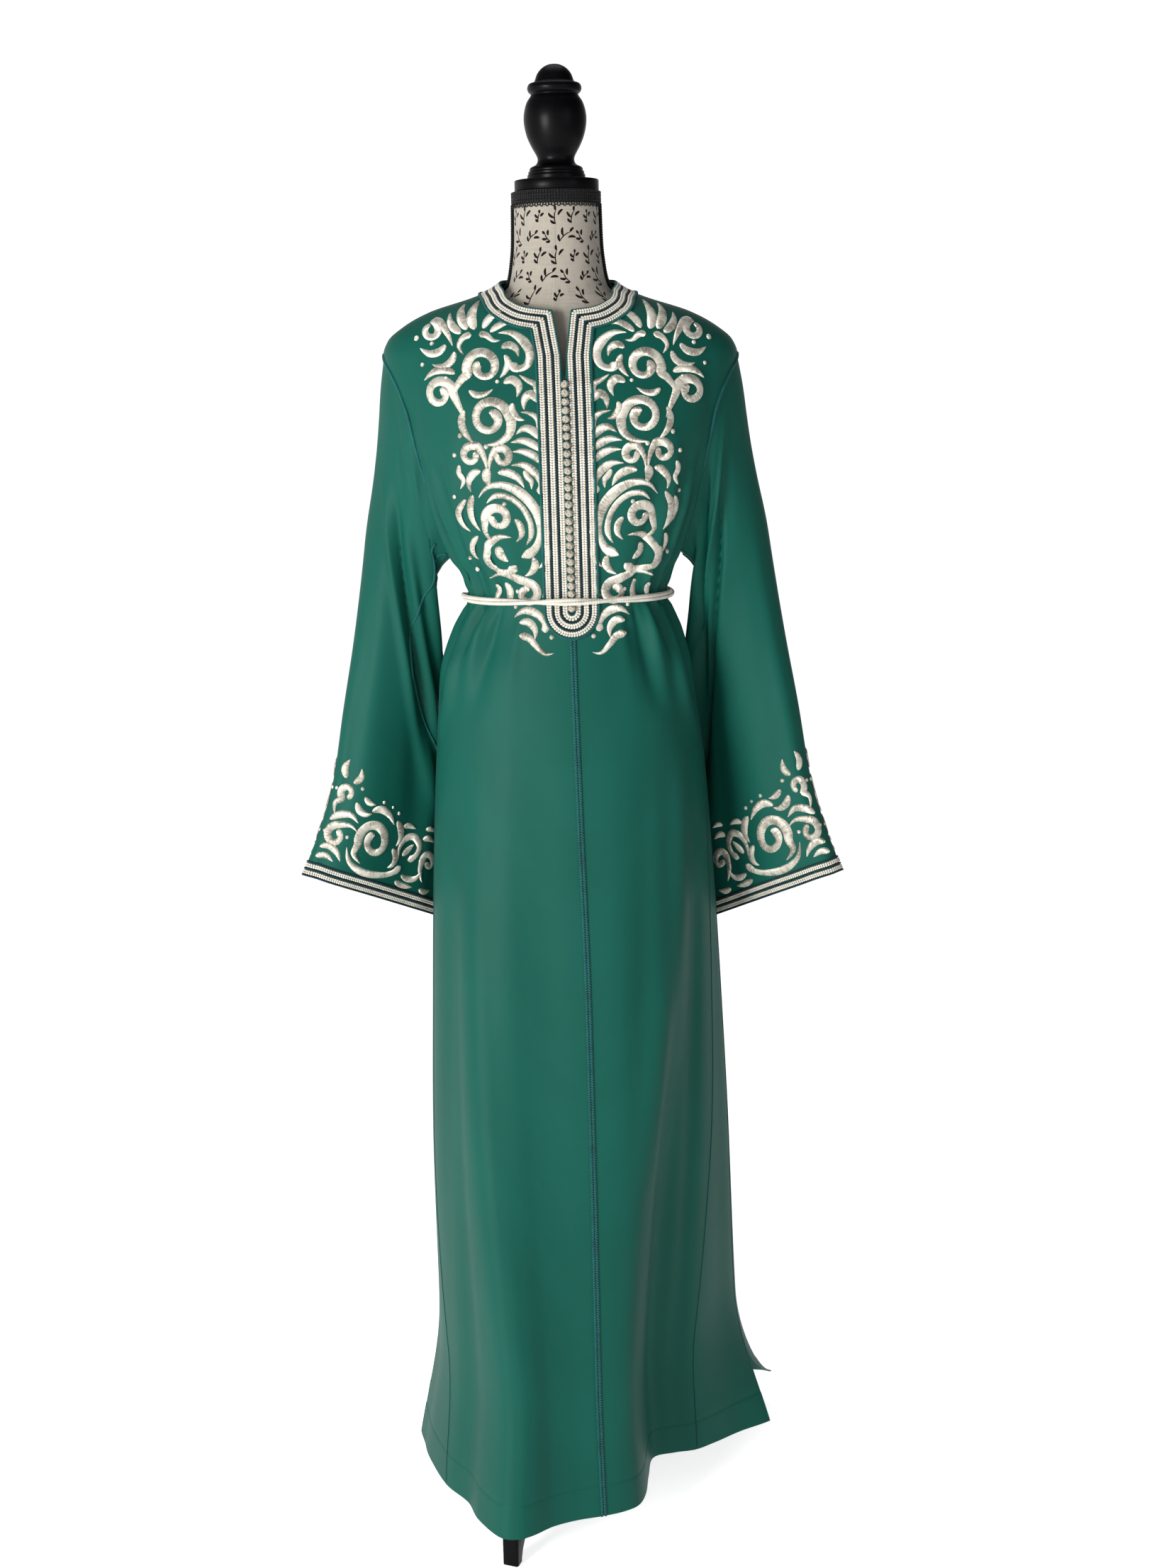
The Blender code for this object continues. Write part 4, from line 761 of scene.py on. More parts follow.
def satin(path, normal, width, high, lift=0.0002, across=6):
    """A padded satin-stitch stroke of changing width, closed underneath."""
    t, b, n = frames(path, normal)
    x = np.linspace(-1.0, 1.0, across + 1)
    dome = (1.0 - np.abs(x) ** 2.3) ** 0.62
    w = np.asarray(width, float)[:, None, None] / 2
    h = (np.minimum(1.0, np.asarray(width, float) / 0.0045) ** 0.7)[:, None, None] * high
    ring = (path + n * lift)[:, None] + w * b[:, None] * x[None, :, None] + h * n[:, None] * dome[None, :, None]
    rows, cols = len(path), across + 1
    verts = ring.reshape(-1, 3)
    j = np.arange(cols)
    k = (j + 1) % cols
    i = np.arange(rows - 1)[:, None]
    faces = [np.stack([i * cols + j, i * cols + k, (i + 1) * cols + k, (i + 1) * cols + j], -1).reshape(-1, 4),
             [list(reversed(range(cols))), list(range((rows - 1) * cols, rows * cols))]]
    s = np.concatenate([[0.0], np.cumsum(np.linalg.norm(np.diff(path, axis=0), axis=1))])
    uv = np.stack([np.repeat(s, cols), (w * x[None, :, None]).reshape(-1)], -1)
    return verts, faces, uv

# ------------------------------------------------------------------ materials
def new_material(name):
    mat = bpy.data.materials.new(name)
    mat.use_nodes = True
    nt = mat.node_tree
    return mat, nt, nt.nodes["Principled BSDF"]


def link(nt, a, b):
    nt.links.new(a, b)


def mapping(nt, source, scale):
    tex = nt.nodes.new("ShaderNodeTexCoord")
    m = nt.nodes.new("ShaderNodeMapping")
    m.inputs["Scale"].default_value = scale
    link(nt, tex.outputs[source], m.inputs["Vector"])
    return m.outputs["Vector"]


def noise(nt, vector, scale, detail=3.0, rough=0.5):
    n = nt.nodes.new("ShaderNodeTexNoise")
    n.inputs["Scale"].default_value = scale
    n.inputs["Detail"].default_value = detail
    n.inputs["Roughness"].default_value = rough
    link(nt, vector, n.inputs["Vector"])
    return n.outputs["Fac"]


def wave(nt, vector, scale, direction="X", distortion=0.0, detail=0.0, detail_scale=1.0):
    w = nt.nodes.new("ShaderNodeTexWave")
    w.wave_type = "BANDS"
    w.bands_direction = direction
    w.inputs["Scale"].default_value = scale
    w.inputs["Distortion"].default_value = distortion
    w.inputs["Detail"].default_value = detail
    w.inputs["Detail Scale"].default_value = detail_scale
    link(nt, vector, w.inputs["Vector"])
    return w.outputs["Fac"]


def math_node(nt, op, a, b=None):
    m = nt.nodes.new("ShaderNodeMath")
    m.operation = op
    for i, v in enumerate((a, b)):
        if v is None:
            continue
        if isinstance(v, (int, float)):
            m.inputs[i].default_value = v
        else:
            link(nt, v, m.inputs[i])
    return m.outputs[0]


def ramp_node(nt, fac, stops):
    r = nt.nodes.new("ShaderNodeValToRGB")
    el = r.color_ramp.elements
    while len(el) < len(stops):
        el.new(0.5)
    for e, (pos, col) in zip(el, stops):
        e.position = pos
        e.color = (*col, 1.0)
    link(nt, fac, r.inputs["Fac"])
    return r.outputs["Color"]


def bump(nt, height, strength, distance, under=None):
    b = nt.nodes.new("ShaderNodeBump")
    b.inputs["Strength"].default_value = strength
    b.inputs["Distance"].default_value = distance
    link(nt, height, b.inputs["Height"])
    if under is not None:
        link(nt, under, b.inputs["Normal"])
    return b.outputs["Normal"]


def scaled(nt, fac, low, high):
    m = nt.nodes.new("ShaderNodeMapRange")
    m.inputs["To Min"].default_value = low
    m.inputs["To Max"].default_value = high
    link(nt, fac, m.inputs["Value"])
    return m.outputs["Result"]


def shade(c, k):
    return tuple(min(1.0, v * k) for v in c)


def cloth_material(name, base, rough=0.50, tone=0.10):
    """Satin crepe: fine crepe grain over a close weave, soft sheen."""
    mat, nt, bsdf = new_material(name)
    uv = mapping(nt, "UV", (1.0, 1.0, 1.0))
    cloud = noise(nt, uv, 7.0, 4.0, 0.55)
    fine = noise(nt, uv, 900.0, 2.0, 0.6)
    mixed = math_node(nt, "ADD", math_node(nt, "MULTIPLY", cloud, 0.7), math_node(nt, "MULTIPLY", fine, 0.3))
    col = ramp_node(nt, mixed, [(0.30, shade(base, 1.0 - tone)), (0.50, base), (0.72, shade(base, 1.0 + tone))])
    link(nt, col, bsdf.inputs["Base Color"])
    link(nt, scaled(nt, fine, rough - 0.05, rough + 0.07), bsdf.inputs["Roughness"])
    warp = wave(nt, uv, 520.0, "X", 1.2, 1.0, 3.0)
    weft = wave(nt, uv, 470.0, "Y", 1.6, 1.0, 3.0)
    weave = math_node(nt, "MULTIPLY", warp, weft)
    low = bump(nt, noise(nt, uv, 26.0, 3.0, 0.5), 0.10, 0.0012)
    link(nt, bump(nt, math_node(nt, "ADD", weave, fine), 0.28, 0.00016, low), bsdf.inputs["Normal"])
    bsdf.inputs["Specular IOR Level"].default_value = 0.09
    bsdf.inputs["Sheen Weight"].default_value = 0.01
    bsdf.inputs["Sheen Roughness"].default_value = 0.38
    bsdf.inputs["Sheen Tint"].default_value = (0.55, 0.85, 0.76, 1.0)
    return mat


def thread_material(name, base, dark, pitch=0.00042, rough=0.36, gloss=0.55, aniso=0.5, strength=0.8, metal=0.0):
    """Silk thread laid side by side across a stroke, with tone varying along it."""
    mat, nt, bsdf = new_material(name)
    uv = mapping(nt, "UV", (1.0, 1.0, 1.0))
    long_ = mapping(nt, "UV", (1.0, 0.16, 1.0))
    streak = noise(nt, long_, 620.0, 3.0, 0.65)
    patch = noise(nt, mapping(nt, "Object", (1.0, 1.0, 1.0)), 55.0, 3.0, 0.6)
    tone = math_node(nt, "ADD", math_node(nt, "MULTIPLY", streak, 0.5), math_node(nt, "MULTIPLY", patch, 0.5))
    link(nt, ramp_node(nt, tone, [(0.42, dark), (0.50, base), (0.59, shade(base, 1.22))]), bsdf.inputs["Base Color"])
    bsdf.inputs["Metallic"].default_value = metal
    threads = wave(nt, uv, 0.5 / pitch / 3.14159, "X", 0.6, 1.0, 2.0)
    link(nt, bump(nt, math_node(nt, "ADD", threads, math_node(nt, "MULTIPLY", streak, 1.1)), strength, 0.00032),
         bsdf.inputs["Normal"])
    link(nt, scaled(nt, streak, rough - 0.06, rough + 0.10), bsdf.inputs["Roughness"])
    bsdf.inputs["Specular IOR Level"].default_value = gloss
    bsdf.inputs["Anisotropic"].default_value = aniso
    bsdf.inputs["Sheen Weight"].default_value = 0.12
    bsdf.inputs["Sheen Roughness"].default_value = 0.4
    return mat


def stitch_material(name, base, dark, rough=0.5, gloss=0.45, grain=1500.0):
    """Twisted or plaited cord: strands are shapes, fibres are bump."""
    mat, nt, bsdf = new_material(name)
    ob = mapping(nt, "Object", (1.0, 1.0, 1.0))
    fibre = noise(nt, ob, grain, 2.0, 0.6)
    patch = noise(nt, ob, 60.0, 3.0, 0.55)
    tone = math_node(nt, "ADD", math_node(nt, "MULTIPLY", fibre, 0.45), math_node(nt, "MULTIPLY", patch, 0.55))
    link(nt, ramp_node(nt, tone, [(0.32, dark), (0.50, base), (0.68, shade(base, 1.12))]), bsdf.inputs["Base Color"])
    uvw = wave(nt, mapping(nt, "UV", (1.0, 1.0, 1.0)), 900.0, "Y", 1.0, 1.0, 2.0)
    link(nt, bump(nt, math_node(nt, "ADD", fibre, math_node(nt, "MULTIPLY", uvw, 0.6)), 0.45, 0.00015),
         bsdf.inputs["Normal"])
    link(nt, scaled(nt, fibre, rough - 0.06, rough + 0.10), bsdf.inputs["Roughness"])
    bsdf.inputs["Specular IOR Level"].default_value = gloss
    bsdf.inputs["Sheen Weight"].default_value = 0.15
    bsdf.inputs["Sheen Roughness"].default_value = 0.4
    return mat


def linen_material(name, base):
    """Plain linen: two sets of slubby threads."""
    mat, nt, bsdf = new_material(name)
    uv = mapping(nt, "UV", (1.0, 1.0, 1.0))
    slub_a = noise(nt, mapping(nt, "UV", (1.0, 0.06, 1.0)), 820.0, 3.0, 0.6)
    slub_b = noise(nt, mapping(nt, "UV", (0.06, 1.0, 1.0)), 820.0, 3.0, 0.6)
    stain = noise(nt, uv, 16.0, 4.0, 0.6)
    warp = wave(nt, uv, 300.0, "X", 2.0, 2.0, 2.0)
    weft = wave(nt, uv, 290.0, "Y", 2.0, 2.0, 2.0)
    threads = math_node(nt, "MULTIPLY", math_node(nt, "ADD", slub_a, slub_b), 0.5)
    tone = math_node(nt, "ADD", math_node(nt, "MULTIPLY", threads, 0.7), math_node(nt, "MULTIPLY", stain, 0.3))
    link(nt, ramp_node(nt, tone, [(0.36, shade(base, 0.74)), (0.50, base), (0.66, shade(base, 1.12))]),
         bsdf.inputs["Base Color"])
    rise = math_node(nt, "ADD", math_node(nt, "MAXIMUM", warp, weft), threads)
    link(nt, bump(nt, rise, 0.5, 0.0003), bsdf.inputs["Normal"])
    link(nt, scaled(nt, threads, 0.82, 0.95), bsdf.inputs["Roughness"])
    bsdf.inputs["Specular IOR Level"].default_value = 0.2
    bsdf.inputs["Sheen Weight"].default_value = 0.2
    bsdf.inputs["Sheen Roughness"].default_value = 0.6
    return mat


def wood_material(name, base, edge, rough=0.30):
    """Black lacquer over turned wood: fine grain rings, soft scuffs."""
    mat, nt, bsdf = new_material(name)
    ob = mapping(nt, "Object", (1.0, 1.0, 0.12))
    grain = noise(nt, ob, 140.0, 5.0, 0.65)
    scuff = noise(nt, mapping(nt, "Object", (1.0, 1.0, 1.0)), 34.0, 5.0, 0.62)
    link(nt, ramp_node(nt, math_node(nt, "ADD", math_node(nt, "MULTIPLY", grain, 0.5),
                                     math_node(nt, "MULTIPLY", scuff, 0.5)),
                       [(0.40, base), (0.58, shade(base, 1.6)), (0.74, edge)]), bsdf.inputs["Base Color"])
    link(nt, scaled(nt, scuff, rough - 0.07, rough + 0.16), bsdf.inputs["Roughness"])
    link(nt, bump(nt, math_node(nt, "ADD", grain, scuff), 0.12, 0.0004), bsdf.inputs["Normal"])
    bsdf.inputs["Specular IOR Level"].default_value = 0.07
    return mat


GREEN = (0.0036, 0.0660, 0.0485)
CLOTH = cloth_material("satin_crepe", GREEN)
THREAD = thread_material("ivory_satin_stitch", (0.62, 0.585, 0.505), (0.31, 0.285, 0.235), metal=0.72)
BRAID = stitch_material("ivory_braid", (0.54, 0.515, 0.45), (0.37, 0.345, 0.29))
BRAID_UNDER = stitch_material("ivory_braid_tape", (0.24, 0.225, 0.185), (0.16, 0.145, 0.115))
TEAL = stitch_material("teal_cord", (0.0008, 0.072, 0.068), (0.0005, 0.036, 0.036), 0.50, 0.16)
NAVY = stitch_material("dark_teal_cord", (0.0008, 0.016, 0.024), (0.0005, 0.008, 0.013), 0.50, 0.16)
EDGE = cloth_material("seam_edge", (0.003, 0.040, 0.034), 0.46)
BUTTON = stitch_material("button_thread", (0.36, 0.33, 0.27), (0.17, 0.15, 0.12))
LINEN = linen_material("oatmeal_linen", (0.285, 0.257, 0.216))
INK = stitch_material("sprig_ink", (0.0070, 0.0045, 0.0035), (0.0040, 0.0028, 0.0024), 0.9, 0.05)
GIMP = stitch_material("black_gimp", (0.0024, 0.0023, 0.0026), (0.0012, 0.0012, 0.0014), 0.6, 0.14)
WOOD = wood_material("black_lacquered_wood", (0.0008, 0.0008, 0.0012), (0.0030, 0.0028, 0.0028))

# ------------------------------------------------------------------ garment: cloth
TOP_T = np.linspace(0.0, 1.0, 22)[:-1]
ARM_Z = np.linspace(TIP_Z, UNDERARM_Z, 44)
SKIRT_Z = np.concatenate([np.arange(UNDERARM_Z - 0.004, 1.060, -0.0042), np.arange(1.056, 0.086, -0.0094),
                          np.arange(0.0815, HEM_Z, -0.0019), [HEM_Z]])
flats = {}


def cut_of(name, outer, wrap=False):
    """Width, length and area of the flat cut, measured on the worn surface."""
    a, b = outer[:-1, :-1], outer[1:, 1:]
    c, d = outer[:-1, 1:], outer[1:, :-1]
    if wrap:
        ring = np.concatenate([outer, outer[:, :1]], 1)
        a, b, c, d = ring[:-1, :-1], ring[1:, 1:], ring[:-1, 1:], ring[1:, :-1]
        outer = ring
    area = 0.5 * np.linalg.norm(np.cross(b - a, d - c), axis=-1).sum()
    wide = np.linalg.norm(np.diff(outer, axis=1), axis=-1).sum(1).max()
    long_ = np.linalg.norm(np.diff(outer, axis=0), axis=-1).sum(0).max()
    flats[name] = (round(float(wide), 3), round(float(long_), 3), round(float(area), 4))
    return flats[name]


def cloth_uv(outer):
    s = np.concatenate([np.zeros((outer.shape[0], 1)),
                        np.cumsum(np.linalg.norm(np.diff(outer, axis=1), axis=-1), 1)], 1)
    t = np.concatenate([np.zeros((1, outer.shape[1])),
                        np.cumsum(np.linalg.norm(np.diff(outer, axis=0), axis=-1), 0)], 0)
    mid = s[:, s.shape[1] // 2][:, None]
    return np.stack([s - mid, t], -1)


def gap_u(u, z, gap):
    d = np.linalg.norm(body_point(u + 0.001, z) - body_point(u - 0.001, z), axis=-1) / 0.002
    return gap / d


for side, tag in ((1, "right"), (-1, "left")):
    cols = 70
    s = np.linspace(0.0, 1.0, cols)[None, :]
    zc = (1.4515 + (TIP_Z - 1.4515) * TOP_T)[:, None]
    u_in = u_at_x(centre_x(zc) + side * centre_half(zc), zc)
    u_out = side * 0.25 - side * gap_u(side * 0.25, TIP_Z, SEAM / 2)
    u_top = u_in + (u_out - u_in) * s
    z_top = neck_z(u_top) + (TIP_Z - neck_z(u_top)) * TOP_T[:, None]
    z = np.concatenate([ARM_Z, SKIRT_Z])[:, None]
    u_in = u_at_x(centre_x(z) + side * centre_half(z), z)
    u_out = side * np.where(z >= UNDERARM_Z - 1e-9, arm_u(z), curve(GORE_SEAM, z, 1))
    u_out = u_out - side * gap_u(u_out, z, SEAM / 2)
    u = np.concatenate([u_top, u_in + (u_out - u_in) * s])
    zz = np.concatenate([z_top, np.broadcast_to(z, (len(z), cols))])
    p, n = skin(u, zz)
    ob = shell("front_cloth_" + tag, p, n, CLOTH, ["front_" + tag], uv=cloth_uv(p))
    cut_of("front_" + tag, p)
    for back in (False, True):
        way = (1 if back else -1) * side
        z = np.concatenate([[UNDERARM_Z], SKIRT_Z])[:, None]
        e = curve(GORE_SEAM, z, 1)
        a = (0.5 - e) if back else e
        sgn = -1 if back else 1
        a = a + sgn * gap_u(side * a, z, SEAM / 2)
        b = 0.25 - sgn * gap_u(side * 0.25, np.maximum(z, SLIT_TOP), SEAM / 2)
        u = side * (a + (b - a) * np.linspace(0.0, 1.0, 18)[None, :])
        zz = np.broadcast_to(z, u.shape)
        p, n = skin(u, zz)
        low = zz < SLIT_TOP
        ps, ns = skin(u, zz, way)
        p, n = np.where(low[..., None], ps, p), np.where(low[..., None], ns, n)
        nm = ("gore_back_" if back else "gore_front_") + tag
        ob = shell(nm.replace("gore", "gore_cloth"), p, n, CLOTH, [nm], uv=cloth_uv(p))
        cut_of(nm, p)

cols = 86
s = np.linspace(0.0, 1.0, cols)[None, :]
g = gap_u(0.25, TIP_Z, SEAM / 2)
u_top = 0.25 + g + (0.5 - 2 * g) * np.repeat(s, len(TOP_T), 0)
z_top = neck_z(u_top) + (TIP_Z - neck_z(u_top)) * TOP_T[:, None]
z = np.concatenate([ARM_Z, SKIRT_Z])[:, None]
e = np.where(z >= UNDERARM_Z - 1e-9, 0.5 - arm_u(z, True), 0.5 - curve(GORE_SEAM, z, 1))
g = gap_u(e, z, SEAM / 2)
u = np.concatenate([u_top, e + g + (1.0 - 2.0 * e - 2.0 * g) * s])
zz = np.concatenate([z_top, np.broadcast_to(z, (len(z), cols))])
p, n = skin(u, zz)
ob = shell("back_cloth", p, n, CLOTH, ["back"], uv=cloth_uv(p))
cut_of("back", p)

for side, tag in ((1, "right"), (-1, "left")):
    w = np.concatenate([np.linspace(0.0, 0.34, 50), np.linspace(0.347, 1.0, 84)])[:, None]
    phi = (np.arange(112) / 112.0)[None, :]
    ww, pp = np.broadcast_to(w, (len(w), 112)), np.broadcast_to(phi, (len(w), 112))
    p, n = sleeve_point(side, pp, ww), sleeve_normal(side, pp, ww)
    u, z = armhole_point(side, phi[0])
    p[0], n[0] = body_point(u, z), body_normal(u, z)
    hem = 0.00045 * ramp(0.9385, 0.9400, ww)
    p = p + n * hem[..., None]
    ob = shell("sleeve_cloth_" + tag, p, n, CLOTH, ["sleeve_" + tag], wrap=True, uv=cloth_uv(p))
    cut_of("sleeve_" + tag, p, True)

# ------------------------------------------------------------------ seams and piping
def seam_tube(u, z, radius, lift, side=0, sides=7):
    p, n = skin(np.asarray(u, float), np.asarray(z, float), side)
    return tube_parts(p, n, radius, sides, False, lift)


piping = []
seam_lines = []
for side, tag in ((1, "right"), (-1, "left")):
    phi = np.linspace(0.0, 1.0, 240, endpoint=False)
    u, z = armhole_point(side, phi)
    p, n = body_point(u, z), body_normal(u, z)
    q, m, _ = resample(p, n, 0.0022, True)
    piping.append(tube_parts(q, m, 0.0019, 8, True, 0.0004))
    zs = np.arange(UNDERARM_Z - 0.002, HEM_Z, -0.006)
    for back in (False, True):
        e = curve(GORE_SEAM, zs, 1)
        seam_lines.append(seam_tube(side * ((0.5 - e) if back else e), zs, 0.00085, -0.0001))
    zs = np.arange(UNDERARM_Z - 0.002, SLIT_TOP, -0.006)
    seam_lines.append(seam_tube(np.full(len(zs), side * 0.25), zs, 0.0008, -0.0001))
    for way in (1, -1):
        zs = np.linspace(SLIT_TOP, HEM_Z, 60)
        p, n = skin(np.full(60, side * 0.25 + way * 0.0006), zs, way)
        piping.append(tube_parts(p, n, 0.0010, 7, False, -0.0004))
    ws = np.linspace(0.02, 0.995, 120)
    line = 0.5 - (0.130 if side < 0 else 0.0) * np.sin(np.pi * np.clip(ws, 0, 1)) ** 0.7
    p, n = sleeve_point(side, line, ws), sleeve_normal(side, line, ws)
    piping.append(tube_parts(p, n, 0.0011, 7, False, 0.0002))
# the left sleeve's underarm seam, swung to the front by the fold
w_seam = np.linspace(0.06, 0.76, 110)
phi_seam = np.interp(w_seam, (0.06, 0.20, 0.27, 0.32, 0.385, 0.47, 0.53, 0.60, 0.68, 0.76),
                     (0.420, 0.340, 0.300, 0.262, 0.220, 0.196, 0.206, 0.262, 0.345, 0.450))
piping.append(tube_parts(sleeve_point(-1, phi_seam, w_seam), sleeve_normal(-1, phi_seam, w_seam), 0.0013, 7, False, 0.0004))
v, f, uv = joined(piping)
make("seam_piping", v, f, TEAL, uv, replace=())
v, f, uv = joined(seam_lines)
make("seam_lines", v, f, EDGE, uv)

# shoulder seams, from the neckline to the shoulder tip
parts = []
for side in (1, -1):
    t = np.linspace(0.03, 1.0, 60)
    u = np.full(60, side * 0.25)
    z = neck_z(u) + (TIP_Z - neck_z(u)) * t
    parts.append(seam_tube(u, z, 0.0007, -0.0001))
v, f, uv = joined(parts)
make("shoulder_seams", v, f, EDGE, uv)


# ------------------------------------------------------------------ neck and placket
def down_from_neck(u, d):
    """Heights of the points that lie d below the neckline along the cloth."""
    u = np.asarray(u, float)
    top = neck_z(u)
    steps = np.arange(0.0, 0.052, 0.0006)
    z = top[:, None] - steps[None, :]
    p = body_point(np.broadcast_to(u[:, None], z.shape), z)
    run = np.concatenate([np.zeros((len(u), 1)), np.cumsum(np.linalg.norm(np.diff(p, axis=1), axis=-1), 1)], 1)
    return np.array([np.interp(d, run[i], z[i]) for i in range(len(u))])


def channel_half(z):
    return np.maximum(CHANNEL, centre_half(z))


def braid_path(d):
    """A closed line at d from the neckline and from the button channel."""
    halves = {}
    for side in (1, -1):
        a = np.linspace(0.008, 0.160, 400)
        z = down_from_neck(side * a, max(d, 0.0))
        x = body_point(side * a, z)[:, 0]
        miss = side * (x - centre_x(z)) - (channel_half(z) + d)
        corner = a[np.argmax(miss > 0.0)]
        ring = np.linspace(0.5, corner, 110)
        zr = down_from_neck(side * ring, max(d, 0.0))
        zp = np.linspace(zr[-1], U_TURN_Z, 150)[1:]
        up = u_at_x(centre_x(zp) + side * (channel_half(zp) + d), zp)
        halves[side] = np.stack([np.concatenate([side * ring, up]), np.concatenate([zr, zp])], -1)
    a = np.pi * np.arange(1, 24) / 24
    r = CHANNEL + d
    z = U_TURN_Z - r * np.sin(a)
    turn = np.stack([u_at_x(centre_x(z) + r * np.cos(a), z), z], -1)
    uz = np.concatenate([halves[1], turn, halves[-1][::-1][:-1]])
    return body_point(uz[:, 0], uz[:, 1]), body_normal(uz[:, 0], uz[:, 1])


for row in range(BRAID_ROWS):
    p, n = braid_path(BRAID_FIRST + BRAID_PITCH * row)
    parts = chevron_row(p, n, BRAID_W, 0.0029, 0.0018, 0.0006, True)
    v, f, uv = joined(parts)
    make("braid_neck_%d" % (row + 1), v, f, BRAID, uv, replace=["neck_braid_%d" % (row + 1)])
    q, m, _ = resample(p, n, 0.004, True)
    v, f, uv = flat_band(q, m, BRAID_W * 0.92, 0.0006, 0.0004, True)
    make("braid_tape_%d" % (row + 1), v, f, BRAID_UNDER, uv)

parts = []
for d in (BRAID_FIRST + BRAID_PITCH * 0.5, BRAID_FIRST + BRAID_PITCH * 1.5):
    p, n = braid_path(d)
    parts += rope_row(p, n, 0.00105, 0.0021, 0.0004, True)
v, f, uv = joined(parts)
make("cords_between_braids", v, f, NAVY, uv)
parts = []
for d, r in ((BRAID_FIRST + BRAID_PITCH * 2 + BRAID_W / 2 + 0.0016, 0.0018), (-0.0004, 0.0010)):
    p, n = braid_path(d)
    parts += rope_row(p, n, r, 0.0023, 0.0004, True)
v, f, uv = joined(parts)
make("cords_at_braid_edges", v, f, TEAL, uv)

# the dark underlap that shows between the buttons and in the slot at the foot
zs = np.linspace(V_FOOT_Z + 0.002, U_TURN_Z - 0.003, 180)
u = u_at_x(centre_x(zs), zs)
p, n = body_point(u, zs), body_normal(u, zs)
v, f, uv = flat_band(p, n, CHANNEL * 1.9, 0.0007, 0.0003, False)
make("placket_underlap", v, f, NAVY, uv)

# ------------------------------------------------------------------ buttons
ball, ball_f = bead_shape(14, 7)


def knot_button(centre, x_axis, y_axis, n, r):
    """A small ball worked from cord: a core with three crossing wraps."""
    parts = [(centre + (ball[:, :1] * x_axis + ball[:, 1:2] * y_axis + ball[:, 2:] * n * 0.92) * r * 0.76,
              [ball_f], ball[:, :2] * r)]
    for k in range(4):
        turn = math.pi * k / 4 + 0.3
        axis = unit(x_axis * math.cos(turn) + y_axis * math.sin(turn) + n * (0.55 if k % 2 else -0.45))
        e1 = unit(np.cross(axis, n + x_axis * 0.01))
        e2 = np.cross(axis, e1)
        a = 2 * np.pi * np.arange(22) / 22
        tilt = 0.30 * np.sin(2 * a + turn)
        line = centre + r * 0.80 * (np.cos(a)[:, None] * e1 + np.sin(a)[:, None] * e2 + tilt[:, None] * axis * 0.5)
        out = unit(line - centre)
        parts.append(tube_parts(line, out, r * 0.235, 5, True, 0.0))
    return parts


parts, loops = [], []
for k in range(BUTTONS + 1):
    # one more knot shows just under the belt
    z = BUTTON_TOP - BUTTON_PITCH * k if k < BUTTONS else BELT_Z - 0.0060
    u = u_at_x(centre_x(z), z)
    p, n = body_point(u, z), body_normal(u, z)
    up = unit(body_point(u, z + 0.003) - body_point(u, z - 0.003))
    across = np.cross(up, n)
    c = p + n * (BUTTON_R * 0.92 + 0.0004)
    spin = 0.9 * math.sin(k * 2.1)
    xa = unit(across * math.cos(spin) + up * math.sin(spin))
    parts += knot_button(c, xa, np.cross(n, xa), n, BUTTON_R * 1.02)
    a = np.linspace(0.0, 2 * np.pi, 18, endpoint=False)
    ring = p + n * 0.0015 + (np.cos(a)[:, None] * across * 1.12 + np.sin(a)[:, None] * up * 0.95) * BUTTON_R * 0.88
    loops.append(tube_parts(ring, np.repeat(n[None], 18, 0), 0.00062, 5, True, 0.0))
v, f, uv = joined(parts)
make("knot_buttons", v, f, BUTTON, uv, replace=["button_%02d" % (k + 1) for k in range(BUTTONS)])
v, f, uv = joined(loops)
make("button_loops", v, f, BRAID_UNDER, uv)

# ------------------------------------------------------------------ centre-front cord
zs = np.linspace(1.0866, HEM_Z + 0.0015, 262)
u = u_at_x(centre_x(zs), zs)
p, n = skin(u, zs)
v, f, uv = joined(chevron_row(p, n, CORD_W * 1.20, 0.0030, 0.0019, 0.0004, False))
make("centre_front_cord", v, f, TEAL, uv, replace=["cord_centre_front"])
q, m, _ = resample(p, n, 0.006)
v, f, uv = flat_band(q, m, CORD_W, 0.0006, 0.0003, False)
make("centre_front_tape", v, f, NAVY, uv)

# ------------------------------------------------------------------ cuffs
for side, tag in ((1, "right"), (-1, "left")):
    phi = np.arange(300) / 300.0
    lengths = np.linalg.norm(sleeve_point(side, phi, np.full(300, 0.97)) - sleeve_point(side, phi, np.ones(300)), axis=-1) / 0.03
    for row, edge in enumerate((0.0050, 0.0138)):
        w = 1.0 - edge / lengths
        p, n = sleeve_point(side, phi, w), sleeve_normal(side, phi, w)
        nm = "cuff_braid_%s_%d" % (tag, row + 1)
        v, f, uv = joined(chevron_row(p, n, 0.0052, 0.0027, 0.0016, 0.0008, True))
        make("braid_cuff_%s_%d" % (tag, row + 1), v, f, BRAID, uv, replace=[nm])
        q, m, _ = resample(p, n, 0.004, True)
        v, f, uv = flat_band(q, m, 0.0047, 0.0006, 0.0005, True)
        make("braid_cuff_tape_%s_%d" % (tag, row + 1), v, f, BRAID_UNDER, uv)
    parts = []
    for edge, r in ((0.0094, 0.0011), (0.0008, 0.0012), (0.0182, 0.0010)):
        w = 1.0 - edge / lengths
        p, n = sleeve_point(side, phi, w), sleeve_normal(side, phi, w)
        parts += rope_row(p, n, r, 0.0022, 0.0005, True)
    v, f, uv = joined(parts)
    make("cords_cuff_" + tag, v, f, NAVY, uv)

# ------------------------------------------------------------------ belt
def belt_line(u):
    z = BELT_Z + 0.0022 * np.cos(2 * np.pi * u)
    a = ((u + 0.5) % 1.0) - 0.5
    over = 0.0028 * ramp(0.075, 0.045, np.abs(a))
    return body_point(u, z) + body_normal(u, z) * (BELT_R + 0.0024 + over)[:, None]


